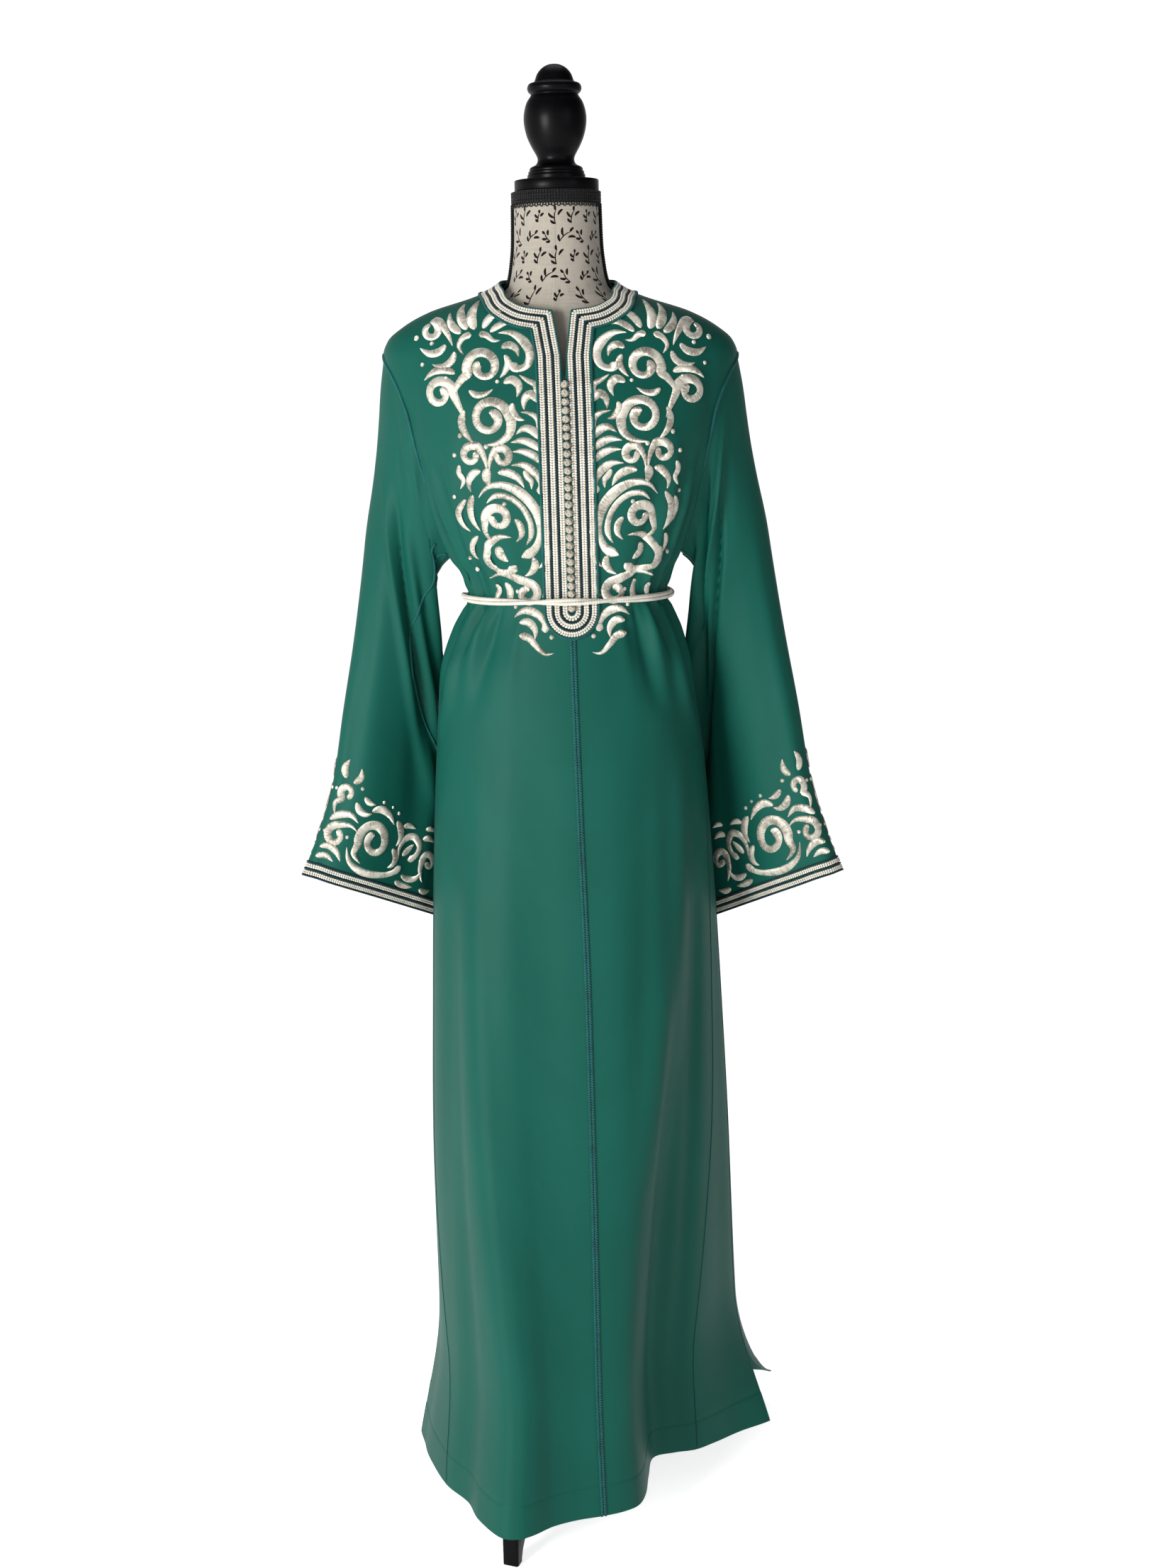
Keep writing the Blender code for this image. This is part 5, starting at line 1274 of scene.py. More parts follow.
u = np.arange(900) / 900.0
mid = belt_line(u)
t = unit(np.roll(mid, -1, 0) - np.roll(mid, 1, 0))
out = unit(np.cross(t, np.array([0.0, 0.0, 1.0])))
up = np.cross(out, t)
parts = []
turns = 3
for strand in (0.0, 0.5):
    a = 2 * np.pi * (turns * u + strand) + math.pi / 2 + 0.7 * np.sin(2 * np.pi * 3 * u)
    line = mid + (out * np.cos(a)[:, None] + up * np.sin(a)[:, None]) * BELT_R * 0.56
    side_out = unit(out * 0.75 + unit(line - mid) * 0.65)
    parts += chevron_row(line, side_out, BELT_R * 1.22, 0.0030, 0.0024, -0.0004, True)
    parts.append(tube_parts(line, side_out, BELT_R * 0.58, 12, True, 0.0))
v, f, uv = joined(parts)
make("belt_cord", v, f, BRAID, uv, replace=["belt"])
# the whipping that closes the ring at the back
parts = []
for k in range(9):
    c = belt_line(np.array([0.4955 + 0.0011 * k]))[0]
    t0 = unit(belt_line(np.array([0.5]))[0] - belt_line(np.array([0.499]))[0])
    o0 = unit(np.cross(t0, np.array([0.0, 0.0, 1.0])))
    u0 = np.cross(o0, t0)
    a = 2 * np.pi * np.arange(22) / 22
    ring = c + (np.cos(a)[:, None] * o0 + np.sin(a)[:, None] * u0) * BELT_R * 1.02
    parts.append(tube_parts(ring, unit(ring - c), 0.00052, 6, True, 0.0))
v, f, uv = joined(parts)
make("belt_whipping", v, f, BRAID, uv)

# ------------------------------------------------------------------ the dress form
def form_skin(a, z):
    a, z = np.broadcast_arrays(np.asarray(a, float), np.asarray(z, float))
    half, front, back = (curve(FORM, z, k) for k in range(1, 4))
    s, c = np.sin(a), np.cos(a)
    x = half * s - 0.001 * ramp(1.44, 1.50, z)
    y = -np.where(c > 0.0, front, back) * c
    for bx in (0.075, -0.075):
        y = y - 0.010 * np.exp(-((x - bx) / 0.045) ** 2 - ((z - 1.275) / 0.045) ** 2) * np.maximum(0.0, c)
    drop = 0.016 * x * ramp(1.30, 1.42, z) * ramp(1.52, 1.47, z)
    return np.stack([x, y, z - drop], -1)


def form_normal(a, z):
    da = form_skin(a + 0.01, z) - form_skin(a - 0.01, z)
    dz = form_skin(a, np.minimum(z + 0.002, 1.572)) - form_skin(a, np.maximum(z - 0.002, 0.800))
    return unit(np.cross(da, dz))


zs = np.concatenate([np.linspace(0.800, 1.42, 60), np.linspace(1.425, 1.572, 48)])[:, None]
a = (2 * np.pi * np.arange(96) / 96)[None, :]
p = form_skin(np.broadcast_to(a, (108, 96)), np.broadcast_to(zs, (108, 96)))
uvs = np.stack([np.broadcast_to(a * 0.055, (108, 96)), np.broadcast_to(zs, (108, 96))], -1)
verts = p.reshape(-1, 3)
faces = [grid_faces(108, 96, True), [list(range(96)), list(range(107 * 96, 108 * 96))]]
make("form_linen", verts, faces, LINEN, uvs.reshape(-1, 2), recalc=True, sharp=50, replace=["form_body"])

# braid down each side of the neck, and the seam at its back
zs = np.linspace(1.5715, 1.440, 90)
parts = []
for ang in (0.5 * math.pi * 0.92, -0.5 * math.pi * 0.92):
    aa = np.full(len(zs), ang)
    p, n = form_skin(aa, zs), form_normal(aa, zs)
    parts += chevron_row(p, n, 0.0072, 0.0028, 0.0034, 0.0004, False)
    parts.append(tube_parts(p, n, 0.0024, 8, False, 0.0004))
v, f, uv = joined(parts)
make("form_side_braid", v, f, GIMP, uv)
aa = np.full(len(zs), math.pi)
v, f, uv = tube_parts(form_skin(aa, zs), form_normal(aa, zs), 0.0005, 5, False, 0.0)
make("form_back_seam", v, f, BRAID_UNDER, uv)

# small printed sprigs on the linen neck, laid out by rule: a stem with three leaves
parts = []
for row, z in enumerate((1.556, 1.534, 1.512, 1.490, 1.468)):
    for k in range(7):
        ang = (k - 3) * 0.40 + (0.20 if row % 2 else 0.0)
        if abs(ang) > 1.28:
            continue
        rad = float(curve(FORM, z, 1))
        spin = 0.75 * math.sin(3.1 * k + 1.7 * row)
        grow = 1.35 + 0.35 * math.sin(2.3 * k + 0.9 * row)
        for leaf, (px, pz, turn, size) in enumerate(((0.0, 0.0, 1.45, 0.0105), (-0.0034, 0.0016, 2.35, 0.0056),
                                                     (0.0036, 0.0030, 0.75, 0.0056), (-0.0026, -0.0030, 2.5, 0.0046),
                                                     (0.0004, 0.0066, 1.57, 0.0040))):
            t = np.linspace(-1, 1, 9)
            th = turn + spin
            c, d = math.cos(spin), math.sin(spin)
            qx, qz = (px * c - pz * d) * grow, (px * d + pz * c) * grow
            xs = qx + 0.5 * size * grow * (t * math.cos(th) - 0.25 * (1 - t * t) * math.sin(th))
            zz = z + qz + 0.5 * size * grow * (t * math.sin(th) + 0.25 * (1 - t * t) * math.cos(th))
            aa = ang + xs / rad
            if zz.max() > 1.5705:
                continue
            wide = (0.0014 if leaf == 0 else 0.0030) * np.sqrt(np.maximum(0.03, 1.0 - t ** 2))
            parts.append(satin(form_skin(aa, zz), form_normal(aa, zz), wide, 0.00018, 0.0, 3))
v, f, uv = joined(parts)
make("neck_sprigs", v, f, INK, uv)


def turned(name, profile, mat, steps, at=(0.0, 0.0), replace=(), sub=1, sharp=35):
    """A solid turned from a profile of (radius, height); the ends meet on the axis."""
    prof = np.array(profile, float)
    if sub > 1:
        t = np.arange(len(prof))
        tt = np.linspace(0, len(prof) - 1, (len(prof) - 1) * sub + 1)
        prof = np.stack([np.interp(tt, t, prof[:, 0]), np.interp(tt, t, prof[:, 1])], -1)
    inner = prof[1:-1]
    ang = 2 * np.pi * np.arange(steps) / steps
    ring = np.stack([at[0] + inner[:, 0, None] * np.cos(ang), at[1] + inner[:, 0, None] * np.sin(ang),
                     np.broadcast_to(inner[:, 1, None], (len(inner), steps))], -1)
    verts = np.concatenate([[[at[0], at[1], prof[0, 1]]], ring.reshape(-1, 3), [[at[0], at[1], prof[-1, 1]]]])
    j = np.arange(steps)
    k = (j + 1) % steps
    last = 1 + (len(inner) - 1) * steps
    faces = [np.stack([np.zeros(steps, int), 1 + k, 1 + j], -1), grid_faces(len(inner), steps, True, 1),
             np.stack([np.full(steps, len(verts) - 1), last + j, last + k], -1)]
    uv = np.stack([verts[:, 0] * 0.7 + verts[:, 1] * 0.7, verts[:, 2]], -1)
    return make(name, verts, faces, mat, uv, recalc=True, sharp=sharp, replace=replace)


def fine_profile(rows, per):
    """Rounds a profile: the same points joined by smooth arcs."""
    rows = np.array(rows, float)
    n = len(rows)
    out = []
    for i in range(n - 1):
        p0, p1, p2, p3 = rows[max(i - 1, 0)], rows[i], rows[i + 1], rows[min(i + 2, n - 1)]
        sharp_a = abs(p1[1] - p0[1]) < 1e-6 or abs(p2[1] - p1[1]) < 1e-6
        sharp_b = abs(p3[1] - p2[1]) < 1e-6 or abs(p2[1] - p1[1]) < 1e-6
        m1 = (p2 - p1) if sharp_a else 0.5 * (p2 - p0)
        m2 = (p2 - p1) if sharp_b else 0.5 * (p3 - p1)
        lim = np.linalg.norm(p2 - p1) * 1.1
        m1, m2 = (m * min(1.0, lim / max(1e-9, np.linalg.norm(m))) for m in (m1, m2))
        for t in np.arange(per) / per:
            h = (2 * t ** 3 - 3 * t ** 2 + 1) * p1 + (t ** 3 - 2 * t ** 2 + t) * m1 \
                + (3 * t ** 2 - 2 * t ** 3) * p2 + (t ** 3 - t ** 2) * m2
            out.append((max(0.0, h[0]), h[1]))
    out.append(tuple(rows[-1]))
    return out


turned("finial_turned", fine_profile(FINIAL, 4), WOOD, 72, replace=["finial"], sharp=50)
turned("neck_cap_turned", [(0.0, 1.6000), (0.0466, 1.6000), (0.0476, 1.5997), (0.0482, 1.5989), (0.0482, 1.5884),
                           (0.0476, 1.5875), (0.0, 1.5875)], WOOD, 96, replace=["neck_cap"], sharp=40)
turned("neck_band_core", [(0.0, 1.5872), (0.0494, 1.5872), (0.0502, 1.5862), (0.0502, 1.5735),
                          (0.0496, 1.5723), (0.0, 1.5723)], GIMP, 96, (-0.001, 0.0), replace=["neck_band"])
turned("pole_turned", [(0.0, 0.7996), (0.0135, 0.7996), (0.0135, 0.2703), (0.0, 0.2703)], WOOD, 40, replace=["pole"])
turned("hub_turned", [(0.0, 0.2700), (0.0186, 0.2700), (0.0200, 0.2694), (0.0226, 0.2664), (0.0230, 0.2650),
                      (0.0230, 0.2566), (0.0224, 0.2552), (0.0189, 0.2524), (0.0185, 0.2514), (0.0185, 0.2488),
                      (0.0189, 0.2477), (0.0231, 0.2453), (0.0235, 0.2443), (0.0235, 0.1508), (0.0231, 0.1494),
                      (0.0185, 0.1420), (0.0080, 0.1380), (0.0, 0.1380)], WOOD, 48, replace=["hub"])

# gimp round the neck: two chevron rows, a cord between them and a scalloped lower edge
ang = 2 * np.pi * np.arange(360) / 360
rim = np.stack([np.sin(ang), -np.cos(ang), np.zeros(360)], -1)


def band_ring(z, r=0.0502):
    return rim * r + np.array([-0.001, 0.0, z]), rim.copy()


parts = []
for z in (1.5836, 1.5768):
    p, n = band_ring(z)
    parts += chevron_row(p, n, 0.0058, 0.0033, 0.0017, -0.0002, True)
p, n = band_ring(1.5802)
parts += rope_row(p, n, 0.0007, 0.0020, 0.0001, True)
count = 96
for k in range(count):
    th = 2 * math.pi * k / count
    zc = 1.5727 - (0.0022 if k % 2 else 0.0010)
    e = np.array([math.cos(th), math.sin(th), 0.0])
    out = np.array([math.sin(th), -math.cos(th), 0.0])
    t = np.linspace(0.0, 2 * np.pi, 11)[:-1]
    ring = np.array([-0.001, 0.0, zc]) + out * 0.0506 + np.cos(t)[:, None] * e * 0.0017 \
        + np.sin(t)[:, None] * np.array([0, 0, 1.0]) * 0.0022
    parts.append(tube_parts(ring, np.repeat(out[None], 10, 0), 0.00058, 4, True, 0.0))
v, f, uv = joined(parts)
make("neck_gimp", v, f, GIMP, uv)

# legs: the outline in an upright plane, with rounded edges
outline = np.array(LEG_TOP + LEG_FOOT + LEG_UNDER)
top_n = len(LEG_TOP)
top_r = np.array(fine_profile(LEG_TOP, 4))
under_r = np.array(fine_profile(LEG_UNDER, 4))
outline = np.concatenate([top_r, np.array(LEG_FOOT), under_r])
m = len(outline)
area2 = (outline[:, 0] * np.roll(outline[:, 1], -1) - np.roll(outline[:, 0], -1) * outline[:, 1]).sum()
edge = np.roll(outline, -1, 0) - np.roll(outline, 1, 0)
inward = unit(np.stack([edge[:, 1], -edge[:, 0]], -1)) * (1.0 if area2 < 0 else -1.0)
for nm, turn in LEG_AT:
    th = math.radians(turn)
    along = np.array([math.cos(th), math.sin(th), 0.0])
    across = np.array([-math.sin(th), math.cos(th), 0.0])
    rows = []
    r = 0.0022
    for off, cut in ((-1.0, r), (-1.0, r * 0.45), (-1.0, 0.0), (1.0, 0.0), (1.0, r * 0.45), (1.0, r)):
        y = off * (LEG_W / 2) if cut == r else off * (LEG_W / 2 - (r if cut == 0.0 else r * 0.22))
        o = outline + inward * cut
        o[:, 1] = np.maximum(o[:, 1], 0.0)
        rows.append(o[:, :1] * along + np.array([0, 0, 1.0]) * o[:, 1:2] + across * y)
    verts = np.concatenate(rows)
    faces = [grid_faces(6, m, True), [list(range(m)), list(range(5 * m, 6 * m))]]
    make(nm + "_shaped", verts, faces, WOOD, np.stack([verts[:, 0] + verts[:, 1], verts[:, 2]], -1),
         recalc=True, sharp=40, replace=[nm])

# ------------------------------------------------------------------ embroidery
# The motifs are laid out flat from short tables of this file: x is outward from
# the centre line (or from the sleeve's outer fold) and h is height, both in
# millimetres.  A stroke is a smooth line through a few points with a width that
# swells along it; a curl winds in round a middle.
def bend(points, per_mm=1.0):
    pts = np.array(points, float)
    d = np.concatenate([[0.0], np.cumsum(np.linalg.norm(np.diff(pts, axis=0), axis=1))])
    n = len(pts)
    m = np.empty_like(pts)
    for i in range(n):
        a, b = max(i - 1, 0), min(i + 1, n - 1)
        m[i] = (pts[b] - pts[a]) / (d[b] - d[a])
    m[0] = 1.5 * (pts[1] - pts[0]) / (d[1] - d[0]) - 0.5 * m[1]
    m[-1] = 1.5 * (pts[-1] - pts[-2]) / (d[-1] - d[-2]) - 0.5 * m[-2]
    s = np.linspace(0.0, d[-1], max(12, int(d[-1] * per_mm)))
    i = np.clip(np.searchsorted(d, s, side="right") - 1, 0, n - 2)
    h = (d[i + 1] - d[i])[:, None]
    return hermite((s - d[i])[:, None] / h, h, pts[i], pts[i + 1], m[i], m[i + 1])


def swell(kind, t):
    """Share of the full width along a stroke."""
    if kind == "leaf":
        return np.sin(np.pi * t ** 0.72) ** 0.66
    if kind == "drop":
        return np.minimum(1.0, (t / 0.12) ** 0.55) * (1.0 - t) ** 0.55
    if kind == "curl":
        bulb = 0.26 * np.exp(-((t - 0.93) / 0.07) ** 2)
        return np.minimum((t / 0.38) ** 0.62, 1.0) * np.minimum(1.0, ((1.0 - t) / 0.05) ** 0.5) * (1.0 - 0.30 * ramp(0.45, 0.85, t) + bulb)
    return np.minimum(1.0, (t / 0.16) ** 0.6) * np.minimum(1.0, ((1.0 - t) / 0.16) ** 0.6)


def stroke(kind, wide, *points):
    line = bend(points)
    return line, np.maximum(swell(kind, np.linspace(0.0, 1.0, len(line))), 0.06) * wide


def curl(wide, cx, cy, r, start, way, turns, *stem):
    """A stroke that comes along its stem and winds in to a third of its radius."""
    n = int(20 + 30 * turns)
    t = np.linspace(0.0, 1.0, n)
    a = np.radians(start + way * 360.0 * turns * t)
    rr = r * (1.0 - 0.70 * t ** 0.9)
    line = np.stack([cx + rr * np.cos(a), cy + rr * np.sin(a)], -1)
    if stem:
        lead = bend(list(stem) + [tuple(line[0]), tuple(line[2])])
        line = np.concatenate([lead[:-3], line[2:]])
    return line, np.maximum(swell("curl", np.linspace(0.0, 1.0, len(line))), 0.06) * wide

def breast_motifs():
    """From the shoulder down beside the placket to a tail under the belt."""
    return [
        # shoulder fan
        stroke("leaf", 10.4, (98, 1432), (102, 1445), (99, 1456), (92, 1465)),
        stroke("leaf", 9.8, (107, 1432), (113, 1443), (114, 1453), (109, 1461)),
        stroke("leaf", 9.8, (89, 1433), (82, 1444), (73, 1451), (61, 1454)),
        stroke("leaf", 8.6, (114, 1428), (123, 1435), (127, 1443), (126, 1451)),
        stroke("leaf", 8.6, (81, 1429), (72, 1436), (62, 1440), (50, 1437)),
        # outer curl on the shoulder, and leaves below it
        curl(9.2, 150, 1432, 12.0, 110, 1, 0.95, (124, 1414), (130, 1428), (139, 1441)),
        stroke("leaf", 8.8, (132, 1416), (140, 1408), (151, 1406), (162, 1412)),
        stroke("leaf", 8.6, (122, 1408), (126, 1398), (136, 1392), (148, 1394)),
        # hooked pair under the fan
        stroke("drop", 9.0, (102, 1427), (112, 1423), (117, 1414), (112, 1405)),
        stroke("drop", 8.6, (94, 1427), (86, 1426), (78, 1420), (70, 1420)),
        # crescent by the neckline, hooked at its foot
        stroke("curl", 10.6, (72, 1428), (57, 1428), (44, 1419), (37, 1406), (41, 1393), (52, 1389), (60, 1396)),
        stroke("leaf", 8.6, (69, 1411), (61, 1415), (53, 1411), (50, 1402)),
        # first great spiral, with a leaf riding on its shoulder
        curl(10.8, 90, 1391, 20.0, -22, 1, 1.22, (124, 1352), (123, 1366), (115, 1378)),
        stroke("leaf", 7.6, (66, 1404), (62, 1396), (66, 1386), (72, 1379)),
        # outer spiral
        curl(10.0, 141, 1362, 16.0, 152, -1, 1.15, (112, 1333), (118, 1347), (124, 1360)),
        stroke("leaf", 8.6, (122, 1384), (134, 1388), (147, 1386), (158, 1377)),
        # second great spiral, with an outer leaf round it
        curl(11.0, 85, 1335, 21.5, 165, -1, 1.22, (92, 1307), (76, 1309), (64, 1318), (61, 1331)),
        stroke("leaf", 8.8, (113, 1345), (117, 1333), (113, 1320), (103, 1309)),
        stroke("leaf", 7.4, (107, 1366), (99, 1361), (89, 1362), (80, 1367)),
        # flames along the placket, each crossing the one before
        stroke("leaf", 9.6, (68, 1373), (58, 1377), (51, 1370), (54, 1358)),
        stroke("drop", 9.6, (30, 1360), (32, 1371), (41, 1376), (50, 1382)),
        stroke("leaf", 9.8, (29, 1352), (38, 1361), (45, 1356), (46, 1344)),
        stroke("leaf", 8.6, (58, 1352), (60, 1344), (54, 1336), (46, 1333)),
        stroke("drop", 9.6, (28, 1321), (31, 1334), (39, 1340), (50, 1342)),
        stroke("leaf", 9.6, (29, 1312), (38, 1322), (47, 1324), (56, 1318)),
        stroke("leaf", 9.2, (28, 1299), (38, 1307), (49, 1311), (62, 1309)),
        stroke("leaf", 8.8, (28, 1285), (37, 1294), (49, 1299), (61, 1299)),
        # bracket of two curls over a bud
        curl(9.2, 107, 1295, 11.5, 100, -1, 0.92, (90, 1278), (92, 1291), (99, 1305)),
        curl(9.2, 73, 1293, 10.5, 80, 1, 0.92, (87, 1278), (86, 1290), (80, 1301)),
        stroke("leaf", 10.6, (88, 1281), (91, 1272), (87, 1261)),
        stroke("leaf", 8.6, (97, 1278), (106, 1275), (112, 1266), (110, 1254)),
        stroke("leaf", 7.6, (121, 1285), (122, 1276), (118, 1267), (121, 1258)),
        # arcs by the placket
        stroke("curl", 9.4, (63, 1284), (49, 1284), (37, 1276), (30, 1264), (32, 1251)),
        stroke("leaf", 9.4, (78, 1276), (67, 1276), (56, 1270), (49, 1259)),
        stroke("leaf", 7.0, (49, 1278), (45, 1271), (41, 1266), (41, 1257)),
        # the great scroll of the ribs: a long band, a narrow one inside, a wound head
        stroke("curl", 11.2, (101, 1248), (90, 1260), (72, 1262), (52, 1252), (37, 1233), (32, 1209), (40, 1189), (55, 1180)),
        stroke("band", 6.6, (92, 1242), (82, 1250), (68, 1249), (54, 1239), (45, 1223), (43, 1207), (49, 1194)),
        curl(10.2, 80, 1224, 15.5, -8, 1, 1.12, (84, 1196), (95, 1207)),
        stroke("leaf", 9.6, (108, 1251), (112, 1238), (110, 1223), (102, 1209)),
        stroke("leaf", 8.2, (116, 1246), (122, 1234), (119, 1221), (111, 1210)),
        stroke("leaf", 7.8, (61, 1224), (55, 1216), (54, 1206), (60, 1198)),
        # a drop wound round a leaf
        stroke("curl", 10.2, (65, 1203), (80, 1203), (93, 1193), (96, 1178), (87, 1165), (71, 1162), (61, 1171)),
        stroke("leaf", 11.6, (80, 1193), (79, 1183), (70, 1175)),
        stroke("leaf", 8.8, (29, 1196), (26, 1186), (28, 1175), (36, 1167)),
        stroke("leaf", 8.4, (42, 1180), (40, 1171), (44, 1163), (52, 1158)),
        stroke("leaf", 7.4, (104, 1204), (109, 1196), (108, 1186), (103, 1178)),
        # narrowing to the waist
        curl(9.8, 50, 1137, 13.5, 95, 1, 1.08, (92, 1155), (78, 1160), (63, 1156)),
        stroke("leaf", 8.8, (75, 1150), (70, 1141), (71, 1131), (78, 1124)),
        stroke("leaf", 8.4, (30, 1164), (27, 1153), (28, 1142), (33, 1133)),
        stroke("leaf", 7.0, (86, 1148), (83, 1141), (85, 1133), (90, 1128)),
        # under the belt
        stroke("curl", 9.2, (66, 1110), (54, 1118), (41, 1115), (32, 1105), (31, 1093)),
        stroke("leaf", 8.8, (60, 1104), (50, 1105), (43, 1097), (43, 1086)),
        stroke("drop", 9.6, (61, 1090), (50, 1087), (42, 1078), (32, 1069), (22, 1070)),
    ], [(166, 1423, 2.9), (148, 1417, 2.4), (160, 1394, 2.4), (75, 1375, 2.2), (109, 1393, 0.0), (133, 1379, 2.2),
        (119, 1317, 2.9), (98, 1288, 0.0), (90, 1305, 2.8), (126, 1296, 2.7), (70, 1316, 0.0), (116, 1303, 0.0),
        (72, 1241, 2.6), (126, 1250, 2.4), (104, 1168, 2.6), (53, 1168, 0.0), (24, 1208, 2.6), (30, 1237, 2.4),
        (64, 1122, 2.4), (24, 1088, 2.8), (61, 1140, 2.4), (112, 1180, 2.3), (30, 1125, 2.4), (64, 1098, 0.0)]


def cuff_motifs():
    """From the outer fold along the cuff: x from the fold, h above the edge."""
    return [
        # a tall stack at the fold
        stroke("leaf", 8.8, (24, 121), (32, 130), (32, 142)),
        stroke("leaf", 8.6, (14, 123), (10, 134), (15, 146)),
        curl(8.8, 19, 107, 10.0, 240, -1, 0.90, (11, 78), (7, 91)),
        stroke("leaf", 9.4, (7, 71), (17, 80), (30, 84), (42, 78)),
        curl(9.4, 20, 55, 12.5, 110, 1, 0.98, (44, 68), (33, 72)),
        stroke("leaf", 8.8, (6, 37), (16, 41), (27, 37), (35, 28)),
        stroke("leaf", 8.2, (5, 25), (16, 29), (27, 25)),
        stroke("leaf", 8.8, (33, 101), (39, 93), (48, 91), (57, 95)),
        stroke("leaf", 7.6, (42, 111), (50, 106), (60, 107)),
        # the great spiral, its crown and its long foot
        curl(11.6, 71, 64, 24.0, 205, -1, 1.28, (60, 33), (48, 42)),
        stroke("curl", 10.4, (37, 47), (46, 31), (66, 24), (91, 27), (110, 35), (121, 47)),
        stroke("leaf", 10.0, (56, 97), (69, 104), (84, 102), (95, 93)),
        stroke("leaf", 9.4, (99, 99), (108, 91), (111, 80), (106, 69)),
        stroke("leaf", 9.0, (101, 64), (109, 56), (108, 46), (100, 39)),
        # a drop wound round a leaf
        stroke("curl", 10.2, (114, 54), (113, 69), (121, 83), (135, 89), (145, 80), (141, 66), (130, 57)),
        stroke("leaf", 10.6, (120, 60), (127, 69), (136, 80)),
        stroke("leaf", 9.2, (124, 36), (136, 34), (147, 38), (153, 48)),
        stroke("leaf", 8.4, (116, 26), (130, 24), (145, 26)),
        stroke("leaf", 8.6, (112, 95), (122, 100), (135, 100)),
        # the next one begins
        curl(9.4, 165, 65, 12.5, 185, -1, 1.0, (158, 36), (152, 50)),
        stroke("leaf", 8.8, (148, 90), (158, 95), (170, 93)),
        stroke("leaf", 8.6, (155, 26), (166, 25), (176, 30)),
        stroke("leaf", 7.4, (150, 104), (160, 108), (170, 107)),
    ], [(37, 119, 2.5), (34, 58, 2.3), (100, 109, 2.4), (94, 41, 0.0), (150, 62, 2.4), (5, 57, 2.2),
        (88, 113, 2.0), (4, 109, 2.2), (147, 77, 0.0), (72, 114, 2.3)]



def on_breast(line, side):
    """Points of the flat layout laid onto the worn cloth."""
    z = line[:, 1] / 1000.0
    x = centre_x(z) + side * line[:, 0] / 1000.0
    u = u_at_x(x, z)
    return skin(u, z)


CUFF_PHI = np.linspace(0.0, 0.5, 200)


def on_cuff(line, side, back):
    w = 1.0 - line[:, 1] / 600.0
    ring = sleeve_point(side, CUFF_PHI if not back else 1.0 - CUFF_PHI, np.full(200, 0.93))
    run = np.concatenate([[0.0], np.cumsum(np.linalg.norm(np.diff(ring, axis=0), axis=1))])
    phi = np.interp(line[:, 0] / 1000.0, run, CUFF_PHI)
    phi = 1.0 - phi if back else phi
    return sleeve_point(side, phi, w), sleeve_normal(side, phi, w)


def stitched(strokes, place, high=0.0015):
    """Every stroke as padded satin stitch on the cloth, and every dot as a small pad."""
    parts = []
    for s in strokes:
        if isinstance(s[0], str):
            x, h, r = s[1]
            if r <= 0.0:
                continue
            t = np.linspace(-1.0, 1.0, 9)
            line = np.stack([np.full(9, x), h + r * t], -1)
            wide = 2.0 * r * np.sqrt(np.maximum(0.02, 1.0 - t ** 2))
        else:
            line, wide = s
        p, n = place(line)
        d = np.linalg.norm(np.diff(p, axis=0), axis=1).sum()
        flat = np.linalg.norm(np.diff(line, axis=0), axis=1).sum() / 1000.0
        k = min(1.15, d / max(flat, 1e-6))
        parts.append(satin(p, n, wide / 1000.0 * k, high))
    return joined(parts)


BREAST, CUFF = ([*strokes, *(("dot", d) for d in dots)] for strokes, dots in (breast_motifs(), cuff_motifs()))
for side, tag in ((1, "right"), (-1, "left")):
    v, f, uv = stitched(BREAST, lambda line: on_breast(line, side))
    make("embroidery_breast_" + tag, v, f, THREAD, uv, sharp=70)
    for back in (False, True):
        v, f, uv = stitched(CUFF, lambda line: on_cuff(line, side, back), 0.0014)
        make("embroidery_cuff_%s_%s" % (tag, "back" if back else "front"), v, f, THREAD, uv, sharp=70)

# ------------------------------------------------------------------ floor, light, camera
def floor_material():
    mat, nt, bsdf = new_material("pale_floor")
    grain = noise(nt, mapping(nt, "Object", (1.0, 1.0, 1.0)), 60.0, 3.0, 0.5)
    link(nt, ramp_node(nt, grain, [(0.3, (0.86, 0.86, 0.86)), (0.7, (0.89, 0.89, 0.89))]), bsdf.inputs["Base Color"])
    bsdf.inputs["Emission Color"].default_value = (1.0, 1.0, 1.0, 1.0)
    bsdf.inputs["Emission Strength"].default_value = FLOOR_GLOW
    bsdf.inputs["Roughness"].default_value = 0.9
    bsdf.inputs["Specular IOR Level"].default_value = 0.1
    return mat


floor_mesh = bpy.data.meshes.new("floor")
rim = [(4.2 * math.cos(2 * math.pi * k / 96), 4.2 * math.sin(2 * math.pi * k / 96), 0.0) for k in range(96)]
floor_mesh.from_pydata(rim, [], [tuple(range(96))])
floor_mesh.materials.append(floor_material())
floor = bpy.data.objects.new("floor", floor_mesh)
bpy.context.scene.collection.objects.link(floor)
floor.location = (0.0, 0.0, -0.0004)

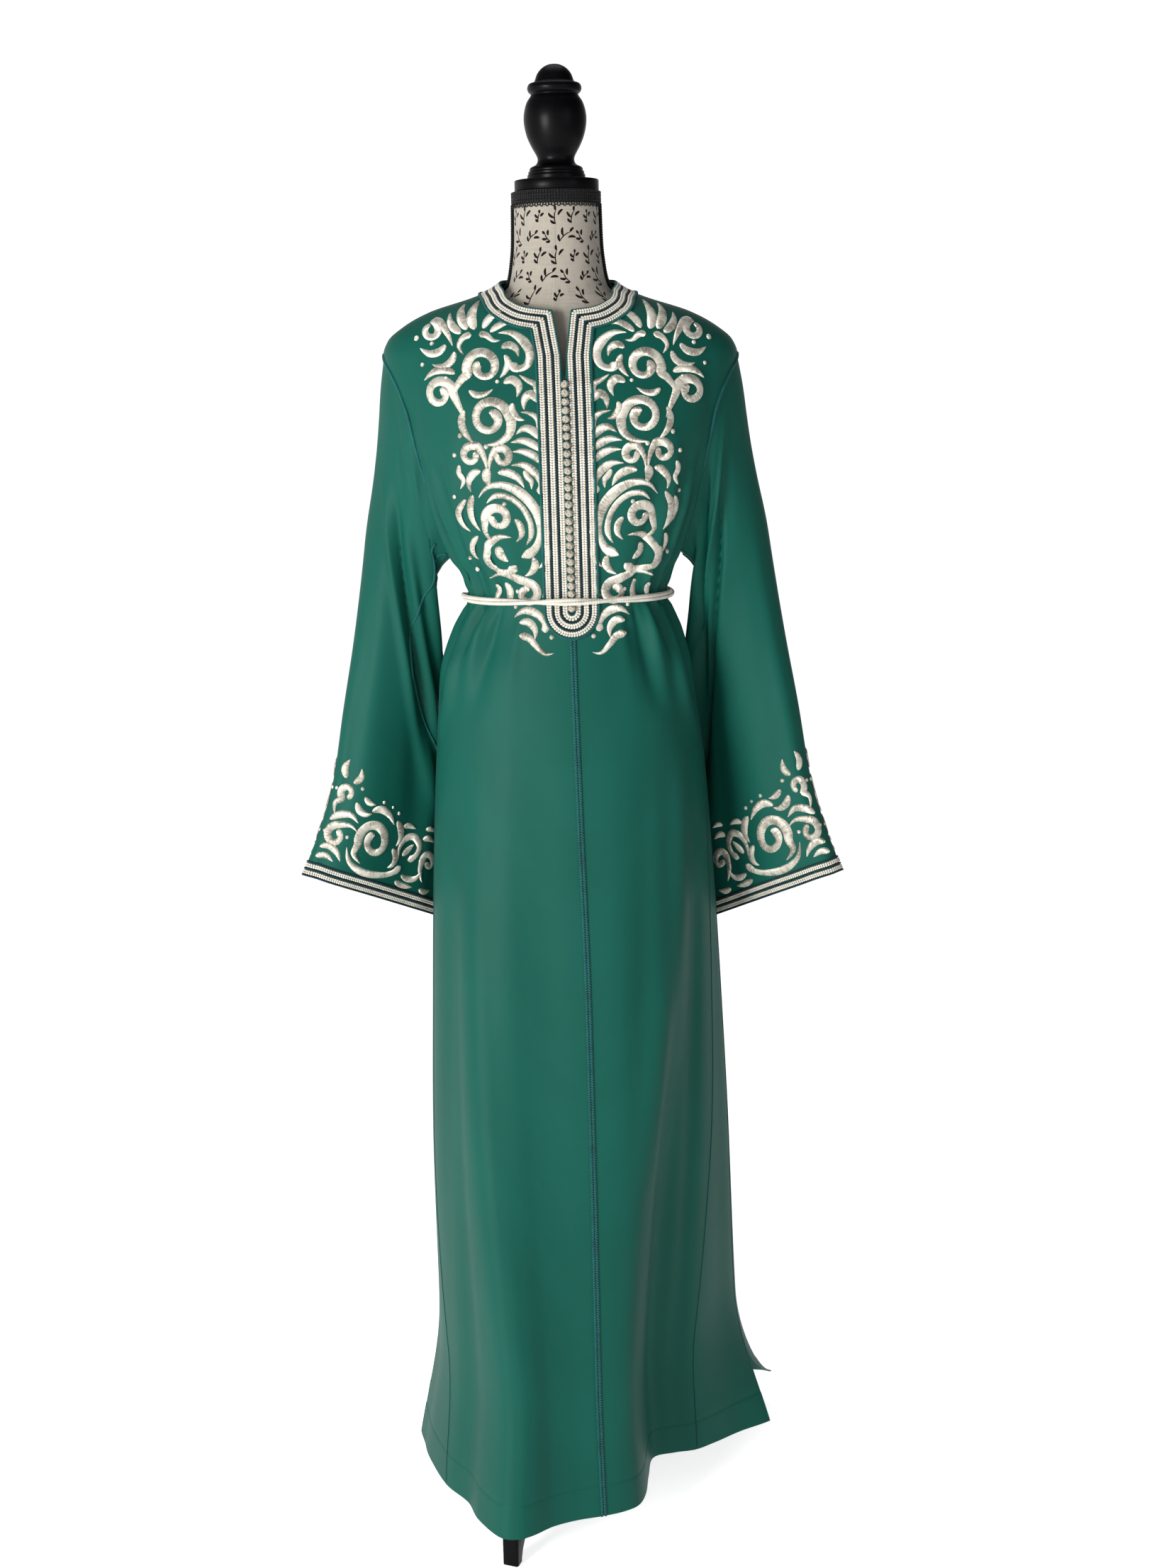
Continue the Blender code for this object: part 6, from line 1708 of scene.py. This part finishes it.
# a pale room: white towards the horizon, dimmer overhead
world = bpy.data.worlds.new("pale_room")
world.use_nodes = True
nt = world.node_tree
sky = nt.nodes["Background"]
tex = nt.nodes.new("ShaderNodeTexCoord")
split = nt.nodes.new("ShaderNodeSeparateXYZ")
link(nt, tex.outputs["Generated"], split.inputs["Vector"])
height = ramp_node(nt, split.outputs["Z"], [(0.20, (1.0, 1.0, 1.0)), (0.42, (DOME, DOME, DOME))])
# the side away from the window is dimmer
away = ramp_node(nt, split.outputs["X"], [(0.30, (1.0, 1.0, 1.0)), (0.70, (AWAY, AWAY, AWAY))])
both = nt.nodes.new("ShaderNodeVectorMath")
both.operation = "MULTIPLY"
link(nt, height, both.inputs[0])
link(nt, away, both.inputs[1])
link(nt, both.outputs["Vector"], sky.inputs["Color"])
sky.inputs["Strength"].default_value = WORLD
bpy.context.scene.world = world


def area_light(name, at, aim, size, power, colour=(1.0, 1.0, 1.0)):
    data = bpy.data.lights.new(name, "AREA")
    data.shape = "RECTANGLE"
    data.size, data.size_y = size
    data.energy = power
    data.color = colour
    ob = bpy.data.objects.new(name, data)
    bpy.context.scene.collection.objects.link(ob)
    ob.location = at
    ob.rotation_euler = (Vector(aim) - Vector(at)).to_track_quat("-Z", "Y").to_euler()
    return ob


for row in LIGHTS:
    area_light(*row)

cam_data = bpy.data.cameras.new("view")
cam_data.sensor_width = 36.0
cam_data.lens = 3105.0 / 2212.0 * 36.0
cam_data.clip_start = 0.05
cam_data.clip_end = 60.0
cam = bpy.data.objects.new("view", cam_data)
bpy.context.scene.collection.objects.link(cam)
turn = Matrix.Rotation(math.radians(90.0 - 10.87), 4, "X") @ Matrix.Rotation(math.radians(-1.25), 4, "Z")
cam.matrix_world = Matrix.Translation(Vector((0.021 + SHIFT[0], -2.6 + SHIFT[1], 1.396 + SHIFT[2]))) @ turn
bpy.context.scene.camera = cam
bpy.context.scene.view_settings.view_transform = VIEW
bpy.context.scene.view_settings.look = "None"
bpy.context.scene.view_settings.exposure = EXPOSURE
